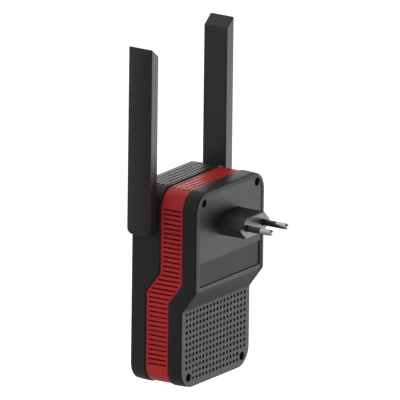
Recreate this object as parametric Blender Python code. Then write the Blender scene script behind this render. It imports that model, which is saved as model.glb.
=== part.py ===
"""Plug-in wifi range extender with two folding antennas, built as separate solids.

Metres, +Z up. The origin is the middle of the plug's end face, between its two pins.
+Y points into the wall socket, -Y faces the room and X runs from pin to pin.
The solids are laid out in body coordinates, where y is the depth behind the flat
front face and z the height above the underside. One empty carries them to the origin.
"""

import math

import bmesh
import bpy
from mathutils import Matrix, Vector

MM = 0.001

# Casing
WIDTH = 78.5 * MM
HEIGHT = 129.3 * MM
CORNER = 12.9 * MM
CORNER_STEPS = 6
FRONT_ROUND = 1.2 * MM
FRONT_WALL = 2.0 * MM
BAND_WALL = 1.5 * MM
LIP_REACH = 0.8 * MM
LIP_ROOT = 1.0 * MM
LIP_THICK = 0.6 * MM
BAND_RECESS = 0.7 * MM
REAR_WALL = 1.6 * MM
COVER_WALL = 2.2 * MM
GAP = 0.3 * MM

# Each seam is (upper depth, lower depth, height where the step starts, height where it ends)
FRONT_SEAM = (21.4 * MM, 11.2 * MM, 74.7 * MM, 61.0 * MM)
REAR_SEAM = (37.75 * MM, 28.0 * MM, 68.6 * MM, 55.6 * MM)
BACK_SEAM = (48.05 * MM, 38.0 * MM, 65.1 * MM, 51.3 * MM)

# Back cover, measured from the back seam
COVER_EDGE = 0.35 * MM
COVER_SKIRT = 0.45 * MM
COVER_RIM = 3.2 * MM
COVER_RISE = 1.0 * MM
COVER_FIELD = 0.5 * MM
RIM_SEAM = (BACK_SEAM[0] + COVER_RISE, BACK_SEAM[1] + COVER_FIELD, *BACK_SEAM[2:])

# Plug: a two-pin flat europlug
PIN_PITCH = 18.6 * MM
PIN_TIP_PITCH = 17.5 * MM
PIN_LENGTH = 19.0 * MM
PIN_RADIUS = 2.0 * MM
PIN_CORE = 1.25 * MM
SLEEVE_LENGTH = 10.0 * MM
SLEEVE_SINK = 2.0 * MM
PLUG_WIDTH = 35.3 * MM
PLUG_FLAT = 20.8 * MM
PLUG_HEIGHT = 13.7 * MM
PLUG_ROUND = 1.5 * MM
PLUG_REACH = 18.6 * MM
PLUG_FLANGE = 2.0 * MM
PLUG_INNER_Y = 43.3 * MM
PLUG_Z = 104.2 * MM
PLUG_FACE_Y = BACK_SEAM[0] + COVER_FIELD + PLUG_REACH

# Vents
SLOT_COUNT = 34
SLOT_LOW = 14.5 * MM
SLOT_HIGH = 116.5 * MM
SLOT_HEIGHT = 1.0 * MM
SLOT_FRONT_MARGIN = 1.9 * MM
SLOT_REAR_MARGIN = 1.4 * MM
MESH_COLUMNS = 19
MESH_PITCH = (3.1 * MM, 3.6 * MM)
MESH_HOLE = (2.0 * MM, 2.2 * MM)
FRONT_MESH_Y = [5.1 * MM + row * MESH_PITCH[1] for row in range(5)]
BAND_MESH_Y = [24.4 * MM + row * MESH_PITCH[1] for row in range(4)]
GRILLE_COLUMNS = 18
GRILLE_ROWS = 12
GRILLE_PITCH = (3.92 * MM, 3.88 * MM)
GRILLE_LOW = 5.9 * MM
GRILLE_RADIUS = 1.05 * MM
GRILLE_SHORT_ROWS = 2
GRILLE_SHORT_BY = 2

# Label recess on the back cover
LABEL_HALF = 34.7 * MM
LABEL_LOW = 67.9 * MM
LABEL_HIGH = 83.5 * MM
LABEL_DEPTH = 1.0 * MM
LABEL_THICK = 0.2 * MM

# Case screws, as (half spacing, height, depth of the cover's outer face there)
UPPER_SCREW = (30.5 * MM, 122.5 * MM, BACK_SEAM[0])
LOWER_SCREW = (30.8 * MM, 7.2 * MM, BACK_SEAM[1])
WELL_DEPTH = 8.0 * MM
WELL_FLOOR = 1.5 * MM
WELL_RADIUS = 3.6 * MM
WELL_BORE = 2.6 * MM
POST_RADIUS = 3.0 * MM
POST_PILOT = 1.5 * MM
SCREW_HEAD = 2.3 * MM
SCREW_SHANK = 1.2 * MM
SCREW_LENGTH = 12 * MM

# Antennas: flat blades beside the casing, each on a pivot along X
BLADE_DEPTH = 17.4 * MM
BLADE_THICK = 8.3 * MM
BLADE_LENGTH = 123.1 * MM
BLADE_WALL = 1.4 * MM
BLADE_FOOT = 4.0 * MM
BLADE_EDGE = 0.7 * MM
TIP_DROP = 6.6 * MM
BLADE_CLEAR = 0.5 * MM
PIVOT_Y = 10.45 * MM
PIVOT_Z = 107.9 * MM
FOOT_BELOW_PIVOT = 8.7 * MM
BUSH_RADIUS = 4.5 * MM
BUSH_BORE = 3.1 * MM
HINGE_RADIUS = 2.8 * MM
HINGE_BORE = 1.1 * MM

# Main board, behind the front face
BOARD_Y = 11.0 * MM
BOARD_THICK = 1.6 * MM
BOARD_BACK = BOARD_Y + BOARD_THICK
BOARD_HALF = 30 * MM
BOARD_FOOT_HALF = 25 * MM
BOARD_LOW, BOARD_FOOT_TOP, BOARD_HIGH = 4 * MM, 12 * MM, 117 * MM
BOARD_SCREWS = [(side * 26 * MM, z) for side in (-1, 1) for z in (24 * MM, 98 * MM)]
STANDOFF_RADIUS = 2.5 * MM
STANDOFF_PILOT = 1.3 * MM
SHIELD_X = (-18 * MM, 14 * MM)
SHIELD_Z = (60 * MM, 88 * MM)
SHIELD_TALL = 2.9 * MM
SHIELD_WALL = 0.4 * MM
HEATSINK_Z = (31 * MM, 55 * MM)
LEAD_RADIUS = 0.6 * MM
LEAD_SOCKET = (22 * MM, BOARD_BACK + GAP, 90 * MM)

# Power board, in front of the plug
POWER_Y = 37.8 * MM
POWER_THICK = 1.6 * MM
POWER_HALF = 27 * MM
POWER_Z = (76 * MM, 116 * MM)
SHEET_Y = (18.6 * MM, 19.0 * MM)
SHEET_HALF = 31 * MM
SHEET_Z = (70 * MM, 117 * MM)
TRANSFORMER_X = (-11 * MM, 8 * MM)
TRANSFORMER_Z = (84 * MM, 104 * MM)
TRANSFORMER_TALL = 16 * MM
FUSE_RADIUS = 2.4 * MM
FUSE_LENGTH = 10 * MM
FUSE_PLACE = (-19 * MM, 108 * MM)
# Capacitors as (x, z, radius, height)
CAPACITORS = {
    "input_capacitor_1": (18 * MM, 107 * MM, 5.0 * MM, 16 * MM),
    "input_capacitor_2": (18 * MM, 93 * MM, 5.0 * MM, 16 * MM),
    "output_capacitor": (-19 * MM, 84 * MM, 4.0 * MM, 12 * MM),
}

# Ethernet jack, mouth down, as half width, depth range and height range
JACK_HALF = 8.0 * MM
JACK_Y = (BOARD_BACK + GAP, 26.1 * MM)
JACK_Z = (0.4 * MM, 21.4 * MM)
JACK_MOUTH_HALF = 5.9 * MM
JACK_MOUTH_Y = (14.8 * MM, 21.6 * MM)
JACK_LATCH_HALF = 3.1 * MM
JACK_LATCH_Y = 23.6 * MM
JACK_MOUTH_DEPTH = 13.0 * MM

# Buttons: a push button in the front face, and a plunger above a pinhole in the underside
WPS_Z = 35 * MM
WPS_RADIUS = 5.0 * MM
WPS_FLANGE = 1.2 * MM
WPS_STEM_RADIUS = 1.4 * MM
WPS_STEM_END = BOARD_Y - 2.2 * MM
WPS_SWITCH_TALL = 2.8 * MM
RESET_X = 18 * MM
RESET_Y = 15.8 * MM
RESET_FOOT = 3.2 * MM
RESET_LENGTH = 4.0 * MM
PINHOLE_RADIUS = 0.9 * MM

# Status lights on the front face
LED_X = [-9 * MM, 0.0, 9 * MM]
LED_Z = 93 * MM
LED_RADIUS = 1.3 * MM

BODY_TO_WORLD = Vector((0, -PLUG_FACE_Y, -PLUG_Z))
# Left and right as seen by someone facing the front
SIDES = ((-1, "left"), (1, "right"))
ALONG = {
    "X": Matrix.Rotation(math.radians(90), 4, "Y"),
    "Y": Matrix.Rotation(math.radians(-90), 4, "X"),
    "Z": Matrix.Identity(4),
}

# (linear colour, roughness, metallic)
LOOKS = {
    "black": ((0.017, 0.017, 0.017), 0.42, 0.0),
    "blade": ((0.020, 0.020, 0.020), 0.40, 0.0),
    "grey": ((0.021, 0.021, 0.021), 0.50, 0.0),
    "red": ((0.50, 0.021, 0.024), 0.42, 0.0),
    "nickel": ((0.72, 0.71, 0.68), 0.22, 1.0),
    "brass": ((0.70, 0.48, 0.17), 0.30, 1.0),
    "steel": ((0.45, 0.45, 0.46), 0.32, 1.0),
    "tin": ((0.60, 0.60, 0.60), 0.35, 1.0),
    "board": ((0.015, 0.11, 0.045), 0.50, 0.0),
    "label": ((0.017, 0.017, 0.018), 0.55, 0.0),
    "sheet": ((0.70, 0.68, 0.60), 0.55, 0.0),
    "ferrite": ((0.03, 0.03, 0.03), 0.70, 0.0),
    "can": ((0.04, 0.05, 0.10), 0.35, 0.0),
    "lens": ((0.80, 0.85, 0.88), 0.15, 0.0),
    "aluminium": ((0.62, 0.63, 0.65), 0.38, 1.0),
}


# ---------------------------------------------------------------- mesh helpers


def clear_scene():
    for obj in list(bpy.data.objects):
        bpy.data.objects.remove(obj, do_unlink=True)


def depth_at(seam, z):
    """Depth of a stepped seam at height z: flat above and below, straight in between."""
    upper, lower, start, end = seam
    share = min(max((z - end) / (start - end), 0.0), 1.0)
    return lower + (upper - lower) * share


def add_cap(bm, ring, levels):
    """Fills a ring with one flat face for each stretch between the given heights."""
    heights = [vert.co.z for vert in ring]
    marks = [min(heights), *sorted(levels), max(heights)]
    touch = 0.01 * MM
    for low, high in zip(marks, marks[1:]):
        inside = [v for v in ring if low - touch <= v.co.z <= high + touch]
        bm.faces.new(inside)


def lofted(loops, closed=False, levels=()):
    """Joins loops of equal length in order: a tube back to the first loop, or capped at both ends."""
    bm = bmesh.new()
    rings = [[bm.verts.new(point) for point in loop] for loop in loops]
    pairs = list(zip(rings, rings[1:]))
    if closed:
        pairs.append((rings[-1], rings[0]))
    for near, far in pairs:
        for i, vert in enumerate(near):
            following = (i + 1) % len(near)
            bm.faces.new((vert, near[following], far[following], far[i]))
    if not closed:
        add_cap(bm, rings[0], levels)
        add_cap(bm, rings[-1], levels)
    bmesh.ops.recalc_face_normals(bm, faces=bm.faces)
    return bm


def moved(bm, offset=(0, 0, 0), axis="Z", turn=None):
    """Turns a mesh built around +Z onto another axis, then shifts it."""
    matrix = Matrix.Translation(Vector(offset)) @ (turn or Matrix.Identity(4)) @ ALONG[axis]
    bmesh.ops.transform(bm, matrix=matrix, verts=bm.verts)
    return bm


def joined(parts):
    """One mesh that holds all the given ones."""
    whole = bmesh.new()
    for part in parts:
        passed = bpy.data.meshes.new("passed")
        part.to_mesh(passed)
        part.free()
        whole.from_mesh(passed)
        bpy.data.meshes.remove(passed)
    return whole


def circle(radius, sides):
    """Points of a regular polygon whose corners lie on the radius, with a flat side down."""
    step = 2 * math.pi / sides
    return [
        (radius * math.cos((i + 0.5) * step), radius * math.sin((i + 0.5) * step))
        for i in range(sides)
    ]


def turned(profile, sides, closed=False):
    """A turned piece around +Z from (radius, height) pairs; closed makes a ring with a bore."""
    loops = [[(x, y, height) for x, y in circle(radius, sides)] for radius, height in profile]
    return lofted(loops, closed)


def rod(radius, start, end, sides=12):
    return turned([(radius, start), (radius, end)], sides)


def ring(outer, inner, start, end, sides=16):
    return turned([(outer, start), (outer, end), (inner, end), (inner, start)], sides, closed=True)


def block(low, high):
    """A cuboid between two corners."""
    corners = [(low[0], low[1]), (high[0], low[1]), (high[0], high[1]), (low[0], high[1])]
    return lofted([[(x, y, z) for x, y in corners] for z in (low[2], high[2])])


def plate(outline, start, end, axis="Y"):
    """An outline of (x, z) points made solid from depth start to depth end, or along X from (y, z)."""
    if axis == "Y":
        return lofted([[(x, depth, z) for x, z in outline] for depth in (start, end)])
    return lofted([[(depth, y, z) for y, z in outline] for depth in (start, end)])


def rounded(points, radius, steps=3):
    """A polygon with each corner replaced by an arc."""
    outline = []
    for i, point in enumerate(points):
        corner = Vector(point)
        before = (Vector(points[i - 1]) - corner).normalized()
        after = (Vector(points[(i + 1) % len(points)]) - corner).normalized()
        half = before.angle(after) / 2
        centre = corner + (before + after).normalized() * radius / math.sin(half)
        start = corner + before * radius / math.tan(half) - centre
        sweep = start.angle_signed(corner + after * radius / math.tan(half) - centre)
        for k in range(steps + 1):
            turn = Matrix.Rotation(-sweep * k / steps, 2)
            outline.append(tuple(centre + turn @ start))
    return outline


# -------------------------------------------------------------- object helpers


def empty(name, location, parent=None):
    obj = bpy.data.objects.new(name, None)
    obj.location = location
    obj.parent = parent
    bpy.context.scene.collection.objects.link(obj)
    return obj


def finish_of(name, look):
    colour, roughness, metallic = LOOKS[look]
    material = bpy.data.materials.new(name)
    material.use_nodes = True
    shader = material.node_tree.nodes["Principled BSDF"]
    shader.inputs["Base Color"].default_value = (*colour, 1)
    shader.inputs["Roughness"].default_value = roughness
    shader.inputs["Metallic"].default_value = metallic
    return material


def solid(name, bm, look, parent, smooth_angle=30):
    """Makes a named object of its own from a mesh, with its own material."""
    mesh = bpy.data.meshes.new(name)
    bm.to_mesh(mesh)
    bm.free()
    mesh.shade_smooth()
    mesh.set_sharp_from_angle(angle=math.radians(smooth_angle))
    mesh.materials.append(finish_of(name, look))
    obj = bpy.data.objects.new(name, mesh)
    obj.parent = parent
    bpy.context.scene.collection.objects.link(obj)
    return obj


def shape_with(obj, bm, operation):
    """Cuts a helper mesh out of an object, or joins it on."""
    mesh = bpy.data.meshes.new(f"{obj.name}_{operation.lower()}")
    bm.to_mesh(mesh)
    bm.free()
    helper = bpy.data.objects.new(mesh.name, mesh)
    helper.parent = obj.parent
    helper.hide_render = True
    helper.display_type = "WIRE"
    bpy.context.scene.collection.objects.link(helper)
    modifier = obj.modifiers.new(operation.lower(), "BOOLEAN")
    modifier.operation = operation
    modifier.solver = "EXACT"
    modifier.object = helper


def cut(obj, parts):
    shape_with(obj, joined(parts), "DIFFERENCE")


def join(obj, parts):
    shape_with(obj, joined(parts), "UNION")


# ---------------------------------------------------------------------- casing


def casing_outline(inset, seams):
    """The casing's rounded outline as (x, z), with a point on each side where a seam bends."""
    half = WIDTH / 2 - inset
    low, high = inset, HEIGHT - inset
    radius = CORNER - inset
    bends = sorted({z for seam in seams for z in seam[2:]})
    points = [(half, z) for z in bends]
    corners = [
        (half - radius, high - radius, 0),
        (radius - half, high - radius, 90),
        (radius - half, low + radius, 180),
        (half - radius, low + radius, 270),
    ]
    for index, (x, z, start) in enumerate(corners):
        for k in range(CORNER_STEPS + 1):
            angle = math.radians(start + 90 * k / CORNER_STEPS)
            points.append((x + radius * math.cos(angle), z + radius * math.sin(angle)))
        if index == 1:
            points += [(-half, z) for z in reversed(bends)]
    return points


def casing_loop(inset, seams, depth):
    """The outline at a depth, which is a number or a function of height."""
    at = depth if callable(depth) else lambda z: depth
    return [(x, at(z), z) for x, z in casing_outline(inset, seams)]


def seam_plus(seam, offset):
    """The depth of a seam, shifted, as a function of height."""
    return lambda z: depth_at(seam, z) + offset


def before(seam):
    return seam_plus(seam, -GAP / 2)


def behind(seam):
    return seam_plus(seam, GAP / 2)


def top_mesh(rows):
    """Cutters for a square ventilation mesh through the casing's top."""
    half_x, half_y = MESH_HOLE[0] / 2, MESH_HOLE[1] / 2
    first = -(MESH_COLUMNS - 1) / 2 * MESH_PITCH[0]
    centres = [(first + column * MESH_PITCH[0], y) for y in rows for column in range(MESH_COLUMNS)]
    low, high = HEIGHT - 5 * MM, HEIGHT + 2 * MM
    return [
        block((x - half_x, y - half_y, low), (x + half_x, y + half_y, high)) for x, y in centres
    ]


def case_screw_places():
    return [(side * x, z, depth) for x, z, depth in (UPPER_SCREW, LOWER_SCREW) for side in (-1, 1)]


def front_shell(root):
    """The room side: a tray with screw posts, board standoffs and the antenna bearings' holes."""
    seams = [FRONT_SEAM]
    loops = [
        casing_loop(FRONT_ROUND, seams, 0.0),
        casing_loop(FRONT_ROUND * 0.3, seams, FRONT_ROUND * 0.3),
        casing_loop(0.0, seams, FRONT_ROUND),
        casing_loop(0.0, seams, before(FRONT_SEAM)),
        casing_loop(FRONT_WALL, seams, before(FRONT_SEAM)),
        casing_loop(FRONT_WALL, seams, FRONT_WALL),
    ]
    shell = solid("front_shell", lofted(loops), "black", root)
    root_y = FRONT_WALL / 2
    posts = []
    pilots = []
    for x, z, depth in case_screw_places():
        top = depth - WELL_DEPTH - GAP
        posts.append(moved(rod(POST_RADIUS, root_y, top), (x, 0, z), "Y"))
        pilots.append(moved(rod(POST_PILOT, top - SCREW_LENGTH, top + MM, 8), (x, 0, z), "Y"))
    for x, z in BOARD_SCREWS:
        top = BOARD_Y - GAP
        posts.append(moved(rod(STANDOFF_RADIUS, root_y, top, 10), (x, 0, z), "Y"))
        pilots.append(moved(rod(STANDOFF_PILOT, 3 * MM, top + MM, 8), (x, 0, z), "Y"))
    join(shell, posts)
    through = (-MM, FRONT_WALL + MM)
    holes = [moved(rod(WPS_RADIUS + GAP, *through, 24), (0, 0, WPS_Z), "Y")]
    holes += [moved(rod(LED_RADIUS + GAP, *through, 8), (x, 0, LED_Z), "Y") for x in LED_X]
    across = rod(BUSH_RADIUS + GAP, -WIDTH, WIDTH, 16)
    holes.append(moved(across, (0, PIVOT_Y, PIVOT_Z), "X"))
    cut(shell, pilots + holes + top_mesh(FRONT_MESH_Y))
    return shell


def side_slots():
    """Cutters for the rows of vents through both sides; their ends follow the band's edges."""
    pitch = (SLOT_HIGH - SLOT_LOW) / (SLOT_COUNT - 1)
    slots = []
    for row in range(SLOT_COUNT):
        low = SLOT_LOW + row * pitch - SLOT_HEIGHT / 2
        high = low + SLOT_HEIGHT
        outline = [
            (depth_at(FRONT_SEAM, low) + SLOT_FRONT_MARGIN, low),
            (depth_at(REAR_SEAM, low) - SLOT_REAR_MARGIN, low),
            (depth_at(REAR_SEAM, high) - SLOT_REAR_MARGIN, high),
            (depth_at(FRONT_SEAM, high) + SLOT_FRONT_MARGIN, high),
        ]
        slots.append(plate(outline, -WIDTH, WIDTH, axis="X"))
    return slots


def seam_lips(seams, inner):
    """The inside of the red band: a lip at each end reaches under the neighbouring shell."""
    front, rear = seams
    lip = FRONT_WALL + GAP
    steps = [
        (lip, rear, -GAP / 2), (lip, rear, LIP_REACH), (lip + LIP_THICK, rear, LIP_REACH),
        (lip + LIP_THICK, rear, -LIP_ROOT), (inner, rear, -LIP_ROOT), (inner, front, LIP_ROOT),
        (lip + LIP_THICK, front, LIP_ROOT), (lip + LIP_THICK, front, -LIP_REACH),
        (lip, front, -LIP_REACH), (lip, front, GAP / 2),
    ]
    return [casing_loop(inset, seams, seam_plus(seam, offset)) for inset, seam, offset in steps]


def red_vent_band(root):
    """The red middle ring, set in a little from its neighbours, with vents on three sides."""
    seams = [FRONT_SEAM, REAR_SEAM]
    loops = [
        casing_loop(BAND_RECESS, seams, behind(FRONT_SEAM)),
        casing_loop(BAND_RECESS, seams, before(REAR_SEAM)),
    ]
    loops += seam_lips(seams, BAND_RECESS + BAND_WALL)
    band = solid("red_vent_band", lofted(loops, closed=True), "red", root)
    past = 2 * MM
    posts = []
    for x, z, _ in case_screw_places():
        clearance = rod(POST_RADIUS + GAP, FRONT_SEAM[1] - past, REAR_SEAM[0] + past)
        posts.append(moved(clearance, (x, 0, z), "Y"))
    jack_hole = block(
        (-JACK_HALF - GAP, JACK_Y[0] - GAP, -MM), (JACK_HALF + GAP, JACK_Y[1] + GAP, 5 * MM)
    )
    pinhole = moved(rod(PINHOLE_RADIUS, -MM, 5 * MM, 8), (RESET_X, RESET_Y, 0))
    cut(band, [*side_slots(), *top_mesh(BAND_MESH_Y), *posts, jack_hole, pinhole])
    return band


def rear_band(root):
    """The black rear ring between the red band and the back cover."""
    seams = [REAR_SEAM, BACK_SEAM]
    loops = [
        casing_loop(0.0, seams, behind(REAR_SEAM)),
        casing_loop(0.0, seams, before(BACK_SEAM)),
        casing_loop(REAR_WALL, seams, before(BACK_SEAM)),
        casing_loop(REAR_WALL, seams, behind(REAR_SEAM)),
    ]
    return solid("rear_band", lofted(loops, closed=True), "black", root)


def grille_holes():
    """Cutters for the round perforations in the lower back; the two lowest rows stop short."""
    holes = []
    first = -(GRILLE_COLUMNS - 1) / 2 * GRILLE_PITCH[0]
    for row in range(GRILLE_ROWS):
        spare = GRILLE_SHORT_BY if row < GRILLE_SHORT_ROWS else 0
        z = GRILLE_LOW + row * GRILLE_PITCH[1]
        for column in range(spare, GRILLE_COLUMNS - spare):
            x = first + column * GRILLE_PITCH[0]
            hole = rod(GRILLE_RADIUS, BACK_SEAM[1] - 5 * MM, BACK_SEAM[1] + 3 * MM, 4)
            holes.append(moved(hole, (x, 0, z), "Y"))
    return holes


def plug_outline(grow=0.0):
    """The flat six-sided section of a europlug as (x, z)."""
    half, flat, high = PLUG_WIDTH / 2 + grow, PLUG_FLAT / 2 + grow / 2, PLUG_HEIGHT / 2 + grow
    points = [(half, 0), (flat, high), (-flat, high), (-half, 0), (-flat, -high), (flat, -high)]
    return [(x, z + PLUG_Z) for x, z in rounded(points, PLUG_ROUND + grow, 2)]


def back_cover(root):
    """The grey stepped lid with its bevelled rim, screw wells, label recess and grille.

    The rim stands out around its upper face and fades out along the step.
    """
    seams = [BACK_SEAM]
    lip = REAR_WALL + GAP
    steps = [
        (lip, BACK_SEAM, COVER_FIELD - COVER_WALL),
        (lip, BACK_SEAM, GAP / 2),
        (COVER_EDGE, BACK_SEAM, GAP / 2),
        (COVER_EDGE, BACK_SEAM, COVER_SKIRT),
        (COVER_RIM, RIM_SEAM, 0.0),
        (COVER_RIM + GAP, BACK_SEAM, COVER_FIELD),
    ]
    loops = [casing_loop(inset, seams, seam_plus(seam, offset)) for inset, seam, offset in steps]
    bm = lofted(loops, levels=BACK_SEAM[2:])
    cover = solid("back_cover", bm, "grey", root, smooth_angle=20)
    wells = []
    bores = []
    for x, z, depth in case_screw_places():
        floor = depth - WELL_DEPTH
        wells.append(moved(rod(WELL_RADIUS, floor, depth, 16), (x, 0, z), "Y"))
        bores.append(
            moved(
                turned(
                    [
                        (POST_PILOT, floor - MM),
                        (POST_PILOT, floor + WELL_FLOOR),
                        (WELL_BORE, floor + WELL_FLOOR),
                        (WELL_BORE, depth + 3 * MM),
                    ],
                    16,
                ),
                (x, 0, z),
                "Y",
            )
        )
    join(cover, wells)
    face = BACK_SEAM[0] + COVER_FIELD
    recess = block(
        (-LABEL_HALF, face - LABEL_DEPTH, LABEL_LOW), (LABEL_HALF, face + 3 * MM, LABEL_HIGH)
    )
    plug_hole = plate(plug_outline(GAP), face - 5 * MM, face + 3 * MM)
    cut(cover, [*bores, recess, plug_hole, *grille_holes()])
    return cover


def rating_label(root):
    floor = BACK_SEAM[0] + COVER_FIELD - LABEL_DEPTH
    low = (-LABEL_HALF + GAP, floor + 0.05 * MM, LABEL_LOW + GAP)
    high = (LABEL_HALF - GAP, floor + 0.05 * MM + LABEL_THICK, LABEL_HIGH - GAP)
    return solid("rating_label", block(low, high), "label", root)


def case_screws(root):
    for number, (x, z, depth) in enumerate(case_screw_places(), 1):
        seat = depth - WELL_DEPTH + WELL_FLOOR + GAP / 2
        profile = [
            (SCREW_SHANK, seat - SCREW_LENGTH),
            (SCREW_SHANK, seat),
            (SCREW_HEAD, seat),
            (SCREW_HEAD, seat + 1.0 * MM),
            (SCREW_HEAD * 0.75, seat + 1.6 * MM),
        ]
        obj = solid(f"case_screw_{number}", moved(turned(profile, 12), axis="Y"), "steel", root)
        obj.location = (x, 0, z)
        cut_cross(obj, seat + 1.6 * MM)


def cut_cross(screw, top):
    """Cuts a cross recess into a screw's head."""
    arm, half = 1.2 * MM, 0.3 * MM
    low, high = top - 0.8 * MM, top + MM
    points = [
        (arm, -half), (arm, half), (half, half), (half, arm), (-half, arm), (-half, half),
        (-arm, half), (-arm, -half), (-half, -half), (-half, -arm), (half, -arm), (half, -half),
    ]
    shape_with(screw, plate(points, low, high), "DIFFERENCE")
    bpy.data.objects[f"{screw.name}_difference"].location = screw.location


# ------------------------------------------------------------------------ plug


def pin_turn(side):
    """The pins lean in towards each other, so that their tips are closer than their roots."""
    lean = math.atan((PIN_PITCH - PIN_TIP_PITCH) / 2 / PIN_LENGTH)
    return Matrix.Rotation(side * lean, 4, "Z")


def plug_body(root):
    """The insulating block that carries the pins, held behind the back cover by its flange."""
    chamfer = 0.5 * MM
    inside = BACK_SEAM[0] + COVER_FIELD - COVER_WALL - GAP
    sections = [
        (0.0, PLUG_INNER_Y),
        (0.0, inside - 2 * MM),
        (PLUG_FLANGE, inside - 2 * MM),
        (PLUG_FLANGE, inside),
        (0.0, inside),
        (0.0, PLUG_FACE_Y - chamfer),
        (-chamfer, PLUG_FACE_Y),
    ]
    loops = [[(x, depth, z) for x, z in plug_outline(grow)] for grow, depth in sections]
    body = solid("plug_body", lofted(loops), "grey", root)
    profile = [
        (PIN_CORE + GAP, PLUG_INNER_Y - PLUG_FACE_Y - 3 * MM),
        (PIN_CORE + GAP, -SLEEVE_SINK - GAP),
        (PIN_RADIUS + GAP / 2, -SLEEVE_SINK - GAP),
        (PIN_RADIUS + GAP / 2, 2 * MM),
    ]
    cut(
        body,
        [
            moved(
                turned(profile, 12),
                (side * PIN_PITCH / 2, PLUG_FACE_Y, PLUG_Z),
                "Y",
                pin_turn(side),
            )
            for side in (-1, 1)
        ],
    )
    return body


def plug_pins(root):
    """Each pin is a thin core under an insulating sleeve, then a thick contact with a domed tip."""
    back = PLUG_INNER_Y - PLUG_FACE_Y - 1.2 * MM
    dome = [
        (PIN_RADIUS * math.cos(angle), PIN_LENGTH - PIN_RADIUS * (1 - math.sin(angle)))
        for angle in (0.0, 0.5, 1.0, 1.4)
    ]
    pin = [(PIN_CORE, back), (PIN_CORE, SLEEVE_LENGTH + GAP / 2)]
    pin += [(PIN_RADIUS, SLEEVE_LENGTH + GAP / 2), *dome]
    sleeve = [
        (PIN_RADIUS, -SLEEVE_SINK),
        (PIN_RADIUS, SLEEVE_LENGTH),
        (PIN_CORE + GAP / 2, SLEEVE_LENGTH),
        (PIN_CORE + GAP / 2, -SLEEVE_SINK),
    ]
    for side, name in SIDES:
        base = Vector((side * PIN_PITCH / 2, PLUG_FACE_Y, PLUG_Z))
        lean = pin_turn(side).to_euler()
        metal = solid(f"plug_pin_{name}", moved(turned(pin, 12), axis="Y"), "nickel", root)
        cover = solid(
            f"pin_sleeve_{name}", moved(turned(sleeve, 12, closed=True), axis="Y"), "black", root
        )
        for obj in (metal, cover):
            obj.location = base
            obj.rotation_euler = lean
        inner = block((-2.4 * MM, -2.0 * MM, -3 * MM), (2.4 * MM, 0, 3 * MM))
        terminal = solid(f"pin_terminal_{name}", inner, "brass", root)
        terminal.location = base + Vector((0, back - GAP, 0))


# -------------------------------------------------------------------- antennas


def blade_outline(x, inset):
    """The blade's (y, z) outline around its pivot at x outside its inner face."""
    half = BLADE_DEPTH / 2 - inset
    low = -FOOT_BELOW_PIVOT + inset
    high = BLADE_LENGTH - FOOT_BELOW_PIVOT - TIP_DROP * (1 - x / BLADE_THICK) - inset
    radius = max(BLADE_FOOT - inset, 1.0 * MM)
    points = [(half, high), (-half, high)]
    for centre_y, start in ((radius - half, 180), (half - radius, 270)):
        for k in range(5):
            angle = math.radians(start + 90 * k / 4)
            points.append(
                (centre_y + radius * math.cos(angle), low + radius + radius * math.sin(angle))
            )
    return points


def blade_loop(side, x, inset):
    return [(side * x, y, z) for y, z in blade_outline(x - BLADE_CLEAR, inset)]


def antenna(root, side, name):
    """A hollow blade, its inner lid and its radiator, on the pivot that they turn about."""
    pivot = empty(f"antenna_pivot_{name}", (side * WIDTH / 2, PIVOT_Y, PIVOT_Z), root)
    near = BLADE_CLEAR
    far = BLADE_CLEAR + BLADE_THICK
    lid_top = near + BLADE_WALL
    loops = [
        blade_loop(side, far, BLADE_EDGE),
        blade_loop(side, far - BLADE_EDGE, 0.0),
        blade_loop(side, near + BLADE_EDGE / 2, 0.0),
        blade_loop(side, near, BLADE_EDGE / 2),
        blade_loop(side, near, BLADE_WALL),
        blade_loop(side, far - BLADE_WALL, BLADE_WALL),
    ]
    solid(f"antenna_shell_{name}", lofted(loops), "blade", pivot)

    lid_inset = BLADE_WALL + 0.15 * MM
    lid = solid(
        f"antenna_lid_{name}",
        lofted([blade_loop(side, near, lid_inset), blade_loop(side, lid_top, lid_inset)]),
        "blade",
        pivot,
    )
    cut(lid, [moved(rod(HINGE_RADIUS + GAP / 2, -10 * MM, 10 * MM, 16), axis="X")])

    strip = [(5 * MM, 8 * MM), (5 * MM, 100 * MM), (-5 * MM, 100 * MM), (-5 * MM, 8 * MM)]
    middle = near + BLADE_THICK / 2
    board = plate(strip, side * middle, side * (middle + 0.8 * MM), axis="X")
    solid(f"antenna_radiator_{name}", board, "board", pivot)

    flange = lid_top + GAP
    profile = [
        (HINGE_BORE, -6.6 * MM),
        (3.9 * MM, -6.6 * MM),
        (3.9 * MM, -5.1 * MM),
        (HINGE_RADIUS, -5.1 * MM),
        (HINGE_RADIUS, flange),
        (5.2 * MM, flange),
        (5.2 * MM, flange + 1.2 * MM),
        (HINGE_BORE, flange + 1.2 * MM),
    ]
    pin = turned([(radius, side * x) for radius, x in profile], 16, closed=True)
    solid(f"hinge_pin_{name}", moved(pin, axis="X"), "black", pivot)


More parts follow.
